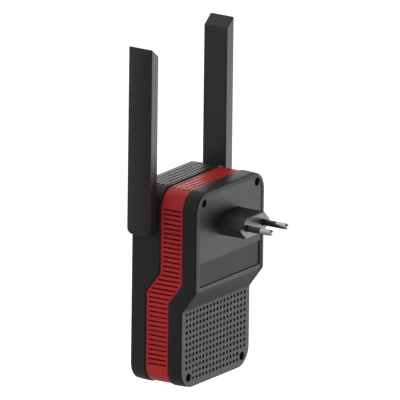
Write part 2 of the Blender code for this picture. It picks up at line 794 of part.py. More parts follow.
def hinge_seat(root, side, name):
    """The bearing bush in the casing's wall and the wave washer that gives the hinge its drag."""
    place = (side * WIDTH / 2, PIVOT_Y, PIVOT_Z)
    flange = FRONT_WALL + GAP
    bush = [
        (BUSH_BORE, 0.2 * MM),
        (BUSH_RADIUS, 0.2 * MM),
        (BUSH_RADIUS, -flange),
        (BUSH_RADIUS + 1.2 * MM, -flange),
        (BUSH_RADIUS + 1.2 * MM, -flange - 1.2 * MM),
        (BUSH_BORE, -flange - 1.2 * MM),
    ]
    bush_mesh = turned([(radius, side * x) for radius, x in bush], 16, closed=True)
    obj = solid(f"hinge_bush_{name}", moved(bush_mesh, axis="X"), "black", root)
    obj.location = place
    washer_x = flange + 1.2 * MM + GAP
    washer = ring(4.6 * MM, BUSH_BORE, -side * washer_x, -side * (washer_x + 0.6 * MM), 16)
    obj = solid(f"hinge_washer_{name}", moved(washer, axis="X"), "steel", root)
    obj.location = place


def antenna_lead(root, side, name):
    """A thin coaxial lead from the hollow hinge pin to its connector on the main board."""
    x, y, z = LEAD_SOCKET
    half, tall = 1.5 * MM, 2 * MM
    body = block((-half, 0, -half), (half, tall, half))
    connector = solid(f"lead_connector_{name}", body, "brass", root)
    connector.location = (side * x, y, z)
    mouth = Vector((WIDTH / 2 - 6.9 * MM, PIVOT_Y, PIVOT_Z))
    above = Vector((x + LEAD_RADIUS, y + tall + 2 * LEAD_RADIUS, z + LEAD_RADIUS))
    drop = above - mouth
    knots = [
        mouth,
        mouth + Vector((-0.7 * MM, 0.05 * drop.y, 0.01 * drop.z)),
        mouth + Vector((-0.9 * MM, 0.4 * drop.y, 0.1 * drop.z)),
        mouth + Vector((0.15 * drop.x, 0.85 * drop.y, 0.3 * drop.z)),
        mouth + Vector((0.45 * drop.x, drop.y, 0.6 * drop.z)),
        above,
    ]
    curve = bpy.data.curves.new(f"antenna_lead_{name}", "CURVE")
    curve.dimensions = "3D"
    curve.bevel_depth = LEAD_RADIUS
    curve.bevel_resolution = 1
    curve.use_fill_caps = True
    spline = curve.splines.new("POLY")
    spline.points.add(len(knots) - 1)
    for point, knot in zip(spline.points, knots):
        point.co = (side * knot.x, knot.y, knot.z, 1)
    curve.materials.append(finish_of(f"antenna_lead_{name}", "black"))
    lead = bpy.data.objects.new(f"antenna_lead_{name}", curve)
    lead.parent = root
    bpy.context.scene.collection.objects.link(lead)


# ------------------------------------------------------------------ main board


def main_board(root):
    """The board is narrower at its foot, between the two lower screw posts."""
    right = [
        (BOARD_FOOT_HALF, BOARD_LOW), (BOARD_FOOT_HALF, BOARD_FOOT_TOP),
        (BOARD_HALF, BOARD_FOOT_TOP), (BOARD_HALF, BOARD_HIGH),
    ]
    outline = right + [(-x, z) for x, z in reversed(right)]
    board = solid("main_board", plate(outline, BOARD_Y, BOARD_BACK), "board", root)
    hole = STANDOFF_PILOT + 0.1 * MM
    through = (BOARD_Y - MM, BOARD_BACK + MM)
    cut(board, [moved(rod(hole, *through, 8), (x, 0, z), "Y") for x, z in BOARD_SCREWS])


def board_screws(root):
    seat = BOARD_BACK + GAP / 2
    profile = [
        (1.0 * MM, seat - 6 * MM), (1.0 * MM, seat), (2.2 * MM, seat),
        (2.2 * MM, seat + 0.8 * MM), (1.6 * MM, seat + 1.4 * MM),
    ]
    for number, (x, z) in enumerate(BOARD_SCREWS, 1):
        screw = moved(turned(profile, 8), axis="Y")
        solid(f"board_screw_{number}", screw, "steel", root).location = (x, 0, z)


def rf_shield(root):
    """A pressed tin can over the radio chips, open towards the board."""
    near = BOARD_BACK + GAP
    far = near + SHIELD_TALL

    def loop(inset, depth):
        left, right = SHIELD_X[0] + inset, SHIELD_X[1] - inset
        low, high = SHIELD_Z[0] + inset, SHIELD_Z[1] - inset
        return [(left, depth, low), (right, depth, low), (right, depth, high), (left, depth, high)]

    inner = far - SHIELD_WALL
    sections = [(0, far), (0, near), (SHIELD_WALL, near), (SHIELD_WALL, inner)]
    solid("rf_shield", lofted([loop(inset, depth) for inset, depth in sections]), "tin", root)


def processor_heatsink(root):
    """A comb of upright fins on a base plate."""
    half, base, tall = 13 * MM, 1.6 * MM, 6.5 * MM
    fins = 7
    fin = 1.2 * MM
    pitch = (2 * half - fin) / (fins - 1)
    near = BOARD_BACK + GAP
    points = [(half, near), (-half, near)]
    for k in range(fins):
        x = -half + k * pitch
        points += [(x, near + tall), (x + fin, near + tall)]
        if k < fins - 1:
            points += [(x + fin, near + base), (x + pitch, near + base)]
    loops = [[(x, y, z) for x, y in points] for z in HEATSINK_Z]
    solid("processor_heatsink", lofted(loops), "aluminium", root)


def ethernet_jack(root):
    """A jack whose mouth opens through the casing's underside."""
    jack = block((-JACK_HALF, JACK_Y[0], JACK_Z[0]), (JACK_HALF, JACK_Y[1], JACK_Z[1]))
    obj = solid("ethernet_jack", jack, "tin", root)
    wide, thin = JACK_MOUTH_HALF, JACK_LATCH_HALF
    low, high = JACK_MOUTH_Y
    mouth = [
        (-wide, low), (wide, low), (wide, high), (thin, high),
        (thin, JACK_LATCH_Y), (-thin, JACK_LATCH_Y), (-thin, high), (-wide, high),
    ]
    bottom = JACK_Z[0]
    loops = [[(x, y, z) for x, y in mouth] for z in (bottom - MM, bottom + JACK_MOUTH_DEPTH)]
    shape_with(obj, lofted(loops), "DIFFERENCE")


def light_pipes(root):
    for number, x in enumerate(LED_X, 1):
        pipe = moved(rod(LED_RADIUS, 0.05 * MM, BOARD_Y - 1.2 * MM, 12), axis="Y")
        solid(f"led_light_pipe_{number}", pipe, "lens", root).location = (x, 0, LED_Z)


# --------------------------------------------------------------------- buttons


def wps_button(root):
    """A round push button in the front face, whose stem reaches into its switch."""
    flange = FRONT_WALL + GAP
    profile = [
        (WPS_RADIUS - 0.5 * MM, -0.5 * MM),
        (WPS_RADIUS, 0.0),
        (WPS_RADIUS, flange),
        (WPS_RADIUS + WPS_FLANGE, flange),
        (WPS_RADIUS + WPS_FLANGE, flange + WPS_FLANGE),
        (WPS_STEM_RADIUS, flange + WPS_FLANGE),
        (WPS_STEM_RADIUS, WPS_STEM_END),
    ]
    button = solid("wps_button", moved(turned(profile, 24), axis="Y"), "black", root)
    button.location = (0, 0, WPS_Z)
    half = 3 * MM
    top, foot = BOARD_Y - WPS_SWITCH_TALL, BOARD_Y - GAP
    switch = solid("wps_switch", block((-half, top, -half), (half, foot, half)), "ferrite", root)
    switch.location = (0, 0, WPS_Z)
    bore = WPS_STEM_RADIUS + 0.5 * MM
    well = moved(rod(bore, top - MM, top + 2 * MM, 12), (0, 0, WPS_Z), "Y")
    shape_with(switch, well, "DIFFERENCE")


def reset_button(root):
    """A small plunger above the pinhole, sliding up into its switch."""
    radius, taper = 1.0 * MM, 0.4 * MM
    profile = [
        (radius - taper, RESET_FOOT),
        (radius, RESET_FOOT + taper),
        (radius, RESET_FOOT + RESET_LENGTH),
    ]
    plunger = solid("reset_button", turned(profile, 12), "black", root)
    plunger.location = (RESET_X, RESET_Y, 0)
    low = RESET_FOOT + 2.6 * MM
    near = BOARD_BACK + GAP - RESET_Y
    body = block((-3 * MM, near, low), (3 * MM, 2.6 * MM, low + 3.6 * MM))
    switch = solid("reset_switch", body, "ferrite", root)
    switch.location = (RESET_X, RESET_Y, 0)
    well = moved(rod(radius + GAP, low - MM, low + 2.4 * MM, 12), (RESET_X, RESET_Y, 0))
    shape_with(switch, well, "DIFFERENCE")


# ---------------------------------------------------------------- power supply


def rectangle(x_range, z_range):
    (left, right), (low, high) = x_range, z_range
    return [(right, low), (right, high), (left, high), (left, low)]


def power_supply(root):
    """The mains side: a board with its parts facing the front, and a sheet that screens it."""
    board = plate(rectangle((-POWER_HALF, POWER_HALF), POWER_Z), POWER_Y, POWER_Y + POWER_THICK)
    solid("power_board", board, "board", root)
    foot = POWER_Y - GAP
    core = rounded(rectangle(TRANSFORMER_X, TRANSFORMER_Z), 1.5 * MM, 2)
    solid("transformer", plate(core, foot - TRANSFORMER_TALL, foot), "ferrite", root)
    bevel = 0.6 * MM
    for name, (x, z, radius, tall) in CAPACITORS.items():
        profile = [(radius - bevel, foot - tall), (radius, foot - tall + bevel), (radius, foot)]
        solid(name, moved(turned(profile, 16), axis="Y"), "can", root).location = (x, 0, z)
    x, z = FUSE_PLACE
    tube = moved(rod(FUSE_RADIUS, -FUSE_LENGTH / 2, FUSE_LENGTH / 2, 12), axis="X")
    solid("mains_fuse", tube, "lens", root).location = (x, foot - FUSE_RADIUS, z)
    sheet = plate(rectangle((-SHEET_HALF, SHEET_HALF), SHEET_Z), *SHEET_Y)
    solid("insulation_sheet", sheet, "sheet", root)


def main():
    clear_scene()
    root = empty("extender", BODY_TO_WORLD)
    for make in (front_shell, red_vent_band, rear_band, back_cover, rating_label, case_screws):
        make(root)
    for make in (plug_body, plug_pins, power_supply, main_board, board_screws, rf_shield):
        make(root)
    for make in (processor_heatsink, ethernet_jack, light_pipes, wps_button, reset_button):
        make(root)
    for side, name in SIDES:
        antenna(root, side, name)
        hinge_seat(root, side, name)
        antenna_lead(root, side, name)


main()
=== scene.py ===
"""The looks of a plug-in wifi range extender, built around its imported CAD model.

Metres, +Z up. Pieces are laid out in body coordinates, where y is the depth behind the
flat front face and z the height above the underside; the front shell's box gives their origin.
"""

import math

import bmesh
import bpy
from mathutils import Matrix, Vector

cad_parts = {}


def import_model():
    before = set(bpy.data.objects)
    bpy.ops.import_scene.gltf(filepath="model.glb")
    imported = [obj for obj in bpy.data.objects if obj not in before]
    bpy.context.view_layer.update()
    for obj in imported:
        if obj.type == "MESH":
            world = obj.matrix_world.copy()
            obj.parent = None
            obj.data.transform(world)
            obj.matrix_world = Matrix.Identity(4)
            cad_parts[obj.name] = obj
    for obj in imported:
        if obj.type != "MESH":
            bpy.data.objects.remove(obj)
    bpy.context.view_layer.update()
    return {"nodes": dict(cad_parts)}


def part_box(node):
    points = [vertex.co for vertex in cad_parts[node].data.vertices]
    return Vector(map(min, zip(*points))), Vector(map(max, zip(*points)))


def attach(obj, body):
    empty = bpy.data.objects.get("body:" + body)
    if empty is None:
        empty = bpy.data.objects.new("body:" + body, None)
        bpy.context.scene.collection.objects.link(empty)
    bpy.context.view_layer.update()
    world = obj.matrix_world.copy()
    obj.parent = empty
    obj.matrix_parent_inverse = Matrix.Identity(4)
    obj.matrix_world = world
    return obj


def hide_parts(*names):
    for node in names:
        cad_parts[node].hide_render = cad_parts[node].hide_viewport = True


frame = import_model()

MM = 0.001
SHELL_LOW, SHELL_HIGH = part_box("front_shell")
BASE = Vector((0, SHELL_LOW.y, SHELL_LOW.z))
WIDTH = SHELL_HIGH.x - SHELL_LOW.x
HEIGHT = SHELL_HIGH.z - SHELL_LOW.z

# Casing, as in the CAD model
CORNER = 12.9 * MM
CORNER_STEPS = 14
DRAFT_STEPS = 6
FRONT_ROUND = 1.2 * MM
FRONT_WALL = 2.0 * MM
FRONT_DRAFT = 0.40 * MM
REAR_CROWN = 0.30 * MM
BAND_WALL = 1.5 * MM
LIP_REACH = 0.8 * MM
LIP_ROOT = 1.0 * MM
LIP_THICK = 0.6 * MM
POST_RADIUS = 3.0 * MM
BAND_RECESS = 0.7 * MM
BAND_ROUND = 0.35 * MM
REAR_WALL = 1.6 * MM
REAR_ROUND = 0.4 * MM
RIM_ROUND = 0.25 * MM
COVER_WALL = 2.2 * MM
GAP = 0.3 * MM

# Cutters start this far outside a surface, and go this deep to pass through any wall
PAST = 2 * MM
THROUGH = 5 * MM

# Number of sides of the round pieces and holes
HOLE_SIDES = 16
BORE_SIDES = 32
SCREW_SIDES = 40
PIN_SIDES = 48
BUTTON_SIDES = 64

# Each seam is (upper depth, lower depth, height where the step starts, height where it ends)
FRONT_SEAM = (21.4 * MM, 11.2 * MM, 74.7 * MM, 61.0 * MM)
REAR_SEAM = (37.75 * MM, 28.0 * MM, 68.6 * MM, 55.6 * MM)
BACK_SEAM = (48.05 * MM, 38.0 * MM, 65.1 * MM, 51.3 * MM)
BEND = 1.3 * MM

# Back cover, measured from the back seam
COVER_EDGE = 0.35 * MM
COVER_SKIRT = 0.45 * MM
SKIRT_ROUND = 0.15 * MM
COVER_RIM = 3.2 * MM
COVER_RISE = 1.0 * MM
COVER_FIELD = 0.5 * MM
COVER_FACE = BACK_SEAM[0] + COVER_FIELD
RIM_SEAM = (BACK_SEAM[0] + COVER_RISE, BACK_SEAM[1] + COVER_FIELD, *BACK_SEAM[2:])

# The cover's bevel, as (inset, share of the way from the skirt to the rim)
COVER_BEVEL = (
    (COVER_EDGE + 0.08 * MM, 0.0),
    (COVER_EDGE + 0.35 * MM, 0.25),
    (COVER_RIM - 0.2 * MM, 0.95),
    (COVER_RIM, 1.0),
)

# Plug
PIN_PITCH = 18.6 * MM
PIN_TIP_PITCH = 17.5 * MM
PIN_LENGTH = 19.0 * MM
PIN_RADIUS = 2.0 * MM
PIN_CORE = 1.25 * MM
PIN_COLLAR = 0.15 * MM
PIN_BORE = 1.55 * MM
PIN_DOME_ANGLES = [step * 0.2 for step in range(8)]
SLEEVE_LENGTH = 10.0 * MM
SLEEVE_SINK = 2.0 * MM
PLUG_WIDTH = 35.3 * MM
PLUG_FLAT = 20.8 * MM
PLUG_HEIGHT = 13.7 * MM
PLUG_ROUND = 1.5 * MM
PLUG_EDGE = 0.6 * MM
PLUG_FLANGE = 2 * MM
PLUG_FACE_Y = -BASE.y
PLUG_Z = -BASE.z

# Vents
SLOT_COUNT = 34
SLOT_LOW = 14.5 * MM
SLOT_HIGH = 116.5 * MM
SLOT_HEIGHT = 1.0 * MM
SLOT_DEPTH = 4 * MM
SLOT_FRONT_MARGIN = 1.9 * MM
SLOT_REAR_MARGIN = 1.4 * MM
MESH_COLUMNS = 19
MESH_PITCH = (3.1 * MM, 3.6 * MM)
MESH_HOLE = (1.7 * MM, 1.9 * MM)
FRONT_MESH_Y = [5.1 * MM + row * MESH_PITCH[1] for row in range(5)]
BAND_MESH_Y = [24.4 * MM + row * MESH_PITCH[1] for row in range(4)]
GRILLE_COLUMNS = 18
GRILLE_ROWS = 12
GRILLE_PITCH = (3.92 * MM, 3.88 * MM)
GRILLE_LOW = 5.9 * MM
GRILLE_RADIUS = 1.1 * MM
GRILLE_SHORT_ROWS = 2
GRILLE_SHORT_BY = 2
FLARE = 0.2 * MM
HOLE_FLARE = 0.08 * MM

# Label recess
LABEL_HALF = 34.7 * MM
LABEL_LOW = 67.9 * MM
LABEL_HIGH = 83.5 * MM
LABEL_DEPTH = 1.0 * MM
RECESS_CORNER = 0.6 * MM
LABEL_CORNER = 0.5 * MM
LABEL_BEVEL = 0.06 * MM

# Case screws, as (half spacing, height, depth of the back seam there)
SCREW_ROWS = ((30.5 * MM, 122.5 * MM, BACK_SEAM[0]), (30.8 * MM, 7.2 * MM, BACK_SEAM[1]))
WELL_DEPTH = 8.0 * MM
WELL_FLOOR = 1.5 * MM
WELL_RADIUS = 3.6 * MM
WELL_BORE = 2.6 * MM
SCREW_BORE = 1.5 * MM
SCREW_SHANK = 1.2 * MM
SCREW_LENGTH = 12 * MM
SCREW_HEAD = 2.3 * MM
HEAD_RIM = 0.7 * MM
HEAD_DOME = 0.9 * MM
DOME_SWEEP = 1.1
DOME_STEPS = 5
CROSS_ARM = 1.25 * MM
CROSS_HALF = 0.28 * MM
CROSS_DEPTH = 1.1 * MM

# Antennas
BLADE_DEPTH = 17.4 * MM
BLADE_THICK = 8.3 * MM
BLADE_LENGTH = 123.1 * MM
BLADE_WALL = 1.4 * MM
BLADE_FOOT = 4.0 * MM
BLADE_EDGE = 0.7 * MM
BLADE_SWELL = 0.80 * MM
SWELL_STEPS = 8
SWELL_CORE = 0.2 * MM
BLADE_TIP = 0.6 * MM
INNER_EDGE = 0.3 * MM
LID_GAP = 0.1 * MM
LID_BORE = 2.95 * MM
TIP_DROP = 6.6 * MM
BLADE_CLEAR = 0.5 * MM
PIVOT_Y = 10.45 * MM
PIVOT_Z = 107.9 * MM
FOOT_BELOW_PIVOT = 8.7 * MM
BUSH_RADIUS = 4.5 * MM
SIDES = ((-1, "left"), (1, "right"))

# Front face
WPS_Z = 35 * MM
WPS_RADIUS = 5.0 * MM
WPS_EDGE = 0.5 * MM
WPS_FLANGE = 1.2 * MM
WPS_STEM = 1.4 * MM
WPS_REACH = 8.8 * MM
DISH_RADII = (0.5 * MM, 1.5 * MM, 2.5 * MM, 3.4 * MM, 4.2 * MM)
DISH_MIDDLE = 0.28 * MM
DISH_DEPTH = 0.17 * MM
LED_X = [-9 * MM, 0.0, 9 * MM]
LED_Z = 93 * MM
LED_RADIUS = 1.3 * MM
LED_BACK = 9.8 * MM
CROWN_ANGLES = (0.2, 0.6, 1.0, 1.3, 1.57)
CROWN_BASE = 0.3 * MM
CROWN_HEIGHT = 0.25 * MM

# Underside
JACK_HALF = 8.0 * MM
JACK_Y = (12.9 * MM, 26.1 * MM)
RESET = (18 * MM, 15.8 * MM)
PINHOLE_RADIUS = 0.9 * MM
CONTACT_COUNT = 8
CONTACT_PITCH = 1.02 * MM
CONTACT_HALF = 0.2 * MM
CONTACT_THICK = 0.25 * MM
CONTACT_PATH = ((15.1 * MM, 2.4 * MM), (15.9 * MM, 3.6 * MM), (18.0 * MM, 12.6 * MM))

# Surface patterns: the scale of each noise per metre, the depth of each relief, and edge widths
MOTTLE_SCALE = 60
PATCH_SCALE = 220
GRAIN_SCALE = 3200
GRAIN_DEPTH = 0.03 * MM
# Width of the painted highlight along edges
EDGE_HIGHLIGHT_WIDTH = 0.25 * MM
TARNISH_SCALE = 300
SHINE_SCALE = 900
MARK_SCALE = 2400
MARK_DEPTH = 0.01 * MM
TRACK_SCALE = 260
TRACK_DEPTH = 0.03 * MM
PAD_SCALE = 320
MASK_SCALE = 90
MILK_SCALE = 500
LENS_SCALE = 1500

# Camera: degrees, and a point to aim at in body coordinates
CAMERA_AZIMUTH = 122.75
CAMERA_ELEVATION = 15.84
CAMERA_ROLL = 0.68
CAMERA_AIM = (-0.07 * MM, 25.7 * MM, 113.92 * MM)
CAMERA_SPAN = 251 * MM
CAMERA_CLIP = (0.01, 20)

# Studio: how strongly the white surroundings and the white floor themselves light the object,
# then each softbox as (name, place, size, power); all of them face the lit point
AMBIENT = 0.30
FLOOR_GLOW = 0.0
FLOOR_HALF = 6
FLOOR_Z = -0.35
FLOOR_TONE = 0.5
FLOOR_ROUGHNESS = 0.9
LIT_POINT = (0, -0.03, 0)
SOFTBOXES = (
    ("key", (-0.45, 0.78, -0.25), 0.5, 6.3),
    ("key right", (0.25, 0.82, -0.28), 0.4, 2.4),
    ("key left", (-0.78, 0.42, -0.18), 0.4, 1.8),
    ("low", (-0.42, 0.16, -0.26), 0.3, 0.5),
    ("front", (0.16, -0.95, 0.20), 0.4, 7.0),
    ("overhead", (-0.10, -0.60, 0.80), 0.9, 2.4),
    ("overhead left", (0.60, -0.45, 0.65), 0.9, 1.2),
    ("left", (0.80, -0.60, 0.10), 0.9, 0.8),
    ("fill", (0.90, 0.25, 0.35), 0.5, 0.8),
    ("rim", (-0.26, -0.24, 0.12), 0.14, 0.16),
)

ALONG = {
    "X": Matrix.Rotation(math.radians(90), 4, "Y"),
    "Y": Matrix.Rotation(math.radians(-90), 4, "X"),
    "Z": Matrix.Identity(4),
}


# ---------------------------------------------------------------- mesh helpers


def add_cap(bm, ring, levels):
    """Fills a ring with one flat face for each stretch between the given heights."""
    heights = [vert.co.z for vert in ring]
    marks = [min(heights), *sorted(levels), max(heights)]
    touch = 0.001 * MM
    for low, high in zip(marks, marks[1:]):
        bm.faces.new([v for v in ring if low - touch <= v.co.z <= high + touch])


def lofted(loops, closed=False, levels=()):
    """Joins equal loops in order: a tube back to the first loop, or capped at both ends."""
    bm = bmesh.new()
    rings = [[bm.verts.new(point) for point in loop] for loop in loops]
    pairs = list(zip(rings, rings[1:]))
    if closed:
        pairs.append((rings[-1], rings[0]))
    for near, far in pairs:
        for i, vert in enumerate(near):
            following = (i + 1) % len(near)
            bm.faces.new((vert, near[following], far[following], far[i]))
    if not closed:
        add_cap(bm, rings[0], levels)
        add_cap(bm, rings[-1], levels)
    bmesh.ops.recalc_face_normals(bm, faces=bm.faces)
    return bm


def moved(bm, offset=(0, 0, 0), axis="Z", turn=None):
    """Turns a mesh built around +Z onto another axis, then shifts it."""
    matrix = Matrix.Translation(Vector(offset)) @ (turn or Matrix.Identity(4)) @ ALONG[axis]
    bmesh.ops.transform(bm, matrix=matrix, verts=bm.verts)
    return bm


def joined(parts):
    """One mesh that holds all the given ones."""
    whole = bmesh.new()
    for part in parts:
        passed = bpy.data.meshes.new("passed")
        part.to_mesh(passed)
        part.free()
        whole.from_mesh(passed)
        bpy.data.meshes.remove(passed)
    return whole


def circle(radius, sides):
    """Points around a circle, with a flat side to +X."""
    step = 2 * math.pi / sides
    return [
        (radius * math.cos((i + 0.5) * step), radius * math.sin((i + 0.5) * step))
        for i in range(sides)
    ]


def turned(profile, sides, closed=False):
    """A turned piece around +Z from (radius, height) pairs; closed makes a ring with a bore."""
    loops = [[(x, y, height) for x, y in circle(radius, sides)] for radius, height in profile]
    return lofted(loops, closed)


def rod(radius, start, end, sides=24):
    """A round bar along +Z between two heights."""
    return turned([(radius, start), (radius, end)], sides)


def block(low, high):
    """A cuboid between two corners."""
    corners = [(low[0], low[1]), (high[0], low[1]), (high[0], high[1]), (low[0], high[1])]
    return lofted([[(x, y, z) for x, y in corners] for z in (low[2], high[2])])


def rounded(points, radius, steps=6):
    """A polygon with each corner replaced by an arc."""
    outline = []
    for i, point in enumerate(points):
        corner = Vector(point)
        before_it = (Vector(points[i - 1]) - corner).normalized()
        after_it = (Vector(points[(i + 1) % len(points)]) - corner).normalized()
        half = before_it.angle(after_it) / 2
        centre = corner + (before_it + after_it).normalized() * radius / math.sin(half)
        start = corner + before_it * radius / math.tan(half) - centre
        sweep = start.angle_signed(corner + after_it * radius / math.tan(half) - centre)
        for k in range(steps + 1):
            outline.append(tuple(centre + Matrix.Rotation(-sweep * k / steps, 2) @ start))
    return outline


def quarter(radius, steps, start):
    """Points (across, along) of a quarter circle, from its start angle in degrees."""
    angles = [math.radians(start + 90 * k / steps) for k in range(steps + 1)]
    return [(radius * math.cos(a), radius * math.sin(a)) for a in angles]


# -------------------------------------------------------------- piece helpers


def linked(name, bm):
    """A new object in the scene that takes over a mesh."""
    mesh = bpy.data.meshes.new(name)
    bm.to_mesh(mesh)
    bm.free()
    obj = bpy.data.objects.new(name, mesh)
    bpy.context.scene.collection.objects.link(obj)
    return obj


def cut_out(obj, parts, operation="DIFFERENCE"):
    """Cuts helper meshes out of an object, or joins them on, and keeps only the result."""
    helper = linked("helper", joined(parts))
    modifier = obj.modifiers.new("shape", "BOOLEAN")
    modifier.operation = operation
    modifier.solver = "EXACT"
    modifier.object = helper
    graph = bpy.context.evaluated_depsgraph_get()
    made = bpy.data.meshes.new_from_object(obj.evaluated_get(graph))
    obj.modifiers.clear()
    obj.data = made
    bpy.data.objects.remove(helper)


def finished(obj, body, material, slot, *nodes, sharp=32):
    """Smooths a piece, gives it its material, and hangs it on its body in its nodes' place."""
    mesh = obj.data
    mesh.shade_smooth()
    mesh.set_sharp_from_angle(angle=math.radians(sharp))
    mesh.materials.clear()
    mesh.materials.append(material)
    weighted = obj.modifiers.new("weighted normals", "WEIGHTED_NORMAL")
    weighted.keep_sharp = True
    weighted.weight = 100
    obj.location = BASE + obj.location
    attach(obj, body)
    if nodes:
        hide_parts(*nodes)
    return obj


# ------------------------------------------------------------------- materials


class Nodes:
    """A short way to add and link shader nodes in one material."""

    def __init__(self, name):
        self.material = bpy.data.materials.new(name)
        self.material.use_nodes = True
        self.tree = self.material.node_tree
        self.shader = self.tree.nodes["Principled BSDF"]
        self.place = self.add("ShaderNodeTexCoord").outputs["Object"]

    def add(self, kind, **settings):
        """A new node with some of its settings changed."""
        node = self.tree.nodes.new(kind)
        for key, value in settings.items():
            setattr(node, key, value)
        return node

    def link(self, source, target):
        self.tree.links.new(source, target)

    def noise(self, scale, detail, stretch=(1, 1, 1)):
        """Soft noise over the piece, squeezed along the axes with a larger stretch."""
        mapping = self.add("ShaderNodeMapping")
        mapping.inputs["Scale"].default_value = stretch
        self.link(self.place, mapping.inputs["Vector"])
        node = self.add("ShaderNodeTexNoise")
        node.inputs["Scale"].default_value = scale
        node.inputs["Detail"].default_value = detail
        self.link(mapping.outputs["Vector"], node.inputs["Vector"])
        return node.outputs["Fac"]

    def ranged(self, value, low, high, start=0.0, end=1.0):
        """A value from start to end laid over low to high."""
        node = self.add("ShaderNodeMapRange")
        node.inputs["From Min"].default_value = start
        node.inputs["From Max"].default_value = end
        node.inputs["To Min"].default_value = low
        node.inputs["To Max"].default_value = high
        self.link(value, node.inputs["Value"])
        return node.outputs["Result"]

    def mixed(self, share, first, second):
        """A colour between two, each a colour or a socket."""
        node = self.add("ShaderNodeMix", data_type="RGBA")
        self.link(share, node.inputs["Factor"])
        for socket, value in ((node.inputs["A"], first), (node.inputs["B"], second)):
            target = self.colour_socket(node, socket.name)
            if hasattr(value, "links"):
                self.link(value, target)
            else:
                target.default_value = (*value, 1)
        return next(o for o in node.outputs if o.type == "RGBA")

    @staticmethod
    def colour_socket(node, name):
        """The colour input among a node's inputs of the same name."""
        return next(s for s in node.inputs if s.type == "RGBA" and s.name == name)

    def edges(self, radius):
        """A mask that is 1 on outer and inner edges within a radius, and 0 on flat faces."""
        bevel = self.add("ShaderNodeBevel", samples=4)
        bevel.inputs["Radius"].default_value = radius
        plain = self.add("ShaderNodeNewGeometry")
        product = self.add("ShaderNodeVectorMath", operation="DOT_PRODUCT")
        self.link(bevel.outputs["Normal"], product.inputs[0])
        self.link(plain.outputs["Normal"], product.inputs[1])
        return self.ranged(product.outputs["Value"], 1.0, 0.0, 0.85, 1.0)

    def bump(self, height, distance, strength):
        """Relief on the surface, without moving it."""
        node = self.add("ShaderNodeBump")
        node.inputs["Distance"].default_value = distance
        node.inputs["Strength"].default_value = strength
        self.link(height, node.inputs["Height"])
        self.link(node.outputs["Normal"], self.shader.inputs["Normal"])


def shade(colour, factor):
    """A colour made darker or lighter."""
    return tuple(channel * factor for channel in colour)


def plastic(name, colour, roughness, grain=0.5, edge_highlight=1.5, specular=0.5):
    """Moulded plastic: fine eroded grain, faint mottling and a painted highlight on the edges."""
    n = Nodes(name)
    mottled = n.mixed(n.noise(MOTTLE_SCALE, 4), shade(colour, 0.88), shade(colour, 1.12))
    # Painted highlight: the edges are made paler, as if their small bevels caught the light
    edge = n.edges(EDGE_HIGHLIGHT_WIDTH)
    highlit_edges = n.mixed(n.ranged(edge, 0.0, 0.7), mottled, shade(colour, edge_highlight))
    n.link(highlit_edges, n.shader.inputs["Base Color"])
    patch = n.noise(PATCH_SCALE, 3)
    n.link(n.ranged(patch, roughness - 0.05, roughness + 0.05), n.shader.inputs["Roughness"])
    n.bump(n.noise(GRAIN_SCALE, 2), GRAIN_DEPTH, grain)
    n.shader.inputs["Specular IOR Level"].default_value = specular
    return n.material


def metal(name, colour, roughness, stretch=(1, 1, 1), marks=0.3):
    """Plated or bare metal with fine marks along one direction."""
    n = Nodes(name)
    tarnish = n.noise(TARNISH_SCALE, 3, stretch)
    tone = n.mixed(tarnish, shade(colour, 0.86), shade(colour, 1.05))
    n.link(tone, n.shader.inputs["Base Color"])
    shine = n.noise(SHINE_SCALE, 2, stretch)
    n.link(n.ranged(shine, roughness - 0.06, roughness + 0.08), n.shader.inputs["Roughness"])
    n.bump(n.noise(MARK_SCALE, 1, stretch), MARK_DEPTH, marks)
    n.shader.inputs["Metallic"].default_value = 1.0
    return n.material


def circuit_board(name, colour, copper):
    """Solder mask over straight tracks, with bare pads in a scattered grid."""
    n = Nodes(name)
    tracks = n.add("ShaderNodeTexBrick", offset=0.37, squash=0.6, squash_frequency=3)
    tracks.inputs["Scale"].default_value = TRACK_SCALE
    tracks.inputs["Mortar Size"].default_value = 0.06
    tracks.inputs["Color1"].default_value = (*colour, 1)
    tracks.inputs["Color2"].default_value = (*shade(colour, 0.8), 1)
    tracks.inputs["Mortar"].default_value = (*shade(colour, 1.9), 1)
    swap = n.add("ShaderNodeMapping")
    swap.inputs["Rotation"].default_value = (math.radians(90), 0, 0)
    n.link(n.place, swap.inputs["Vector"])
    n.link(swap.outputs["Vector"], tracks.inputs["Vector"])
    dots = n.add("ShaderNodeTexVoronoi")
    dots.inputs["Scale"].default_value = PAD_SCALE
    n.link(n.place, dots.inputs["Vector"])
    pads = n.ranged(dots.outputs["Distance"], 1.0, 0.0, 0.10, 0.16)
    n.link(n.mixed(pads, tracks.outputs["Color"], copper), n.shader.inputs["Base Color"])
    n.link(n.ranged(n.noise(MASK_SCALE, 2), 0.28, 0.42), n.shader.inputs["Roughness"])
    n.bump(tracks.outputs["Fac"], TRACK_DEPTH, 0.4)
    return n.material


def clear_plastic(name, colour):
    """A translucent light pipe, slightly milky."""
    n = Nodes(name)
    milky = n.mixed(n.noise(MILK_SCALE, 2), colour, shade(colour, 0.85))
    n.link(milky, n.shader.inputs["Base Color"])
    n.link(n.ranged(n.noise(LENS_SCALE, 2), 0.12, 0.24), n.shader.inputs["Roughness"])
    n.shader.inputs["Transmission Weight"].default_value = 0.35
    n.shader.inputs["IOR"].default_value = 1.49
    return n.material


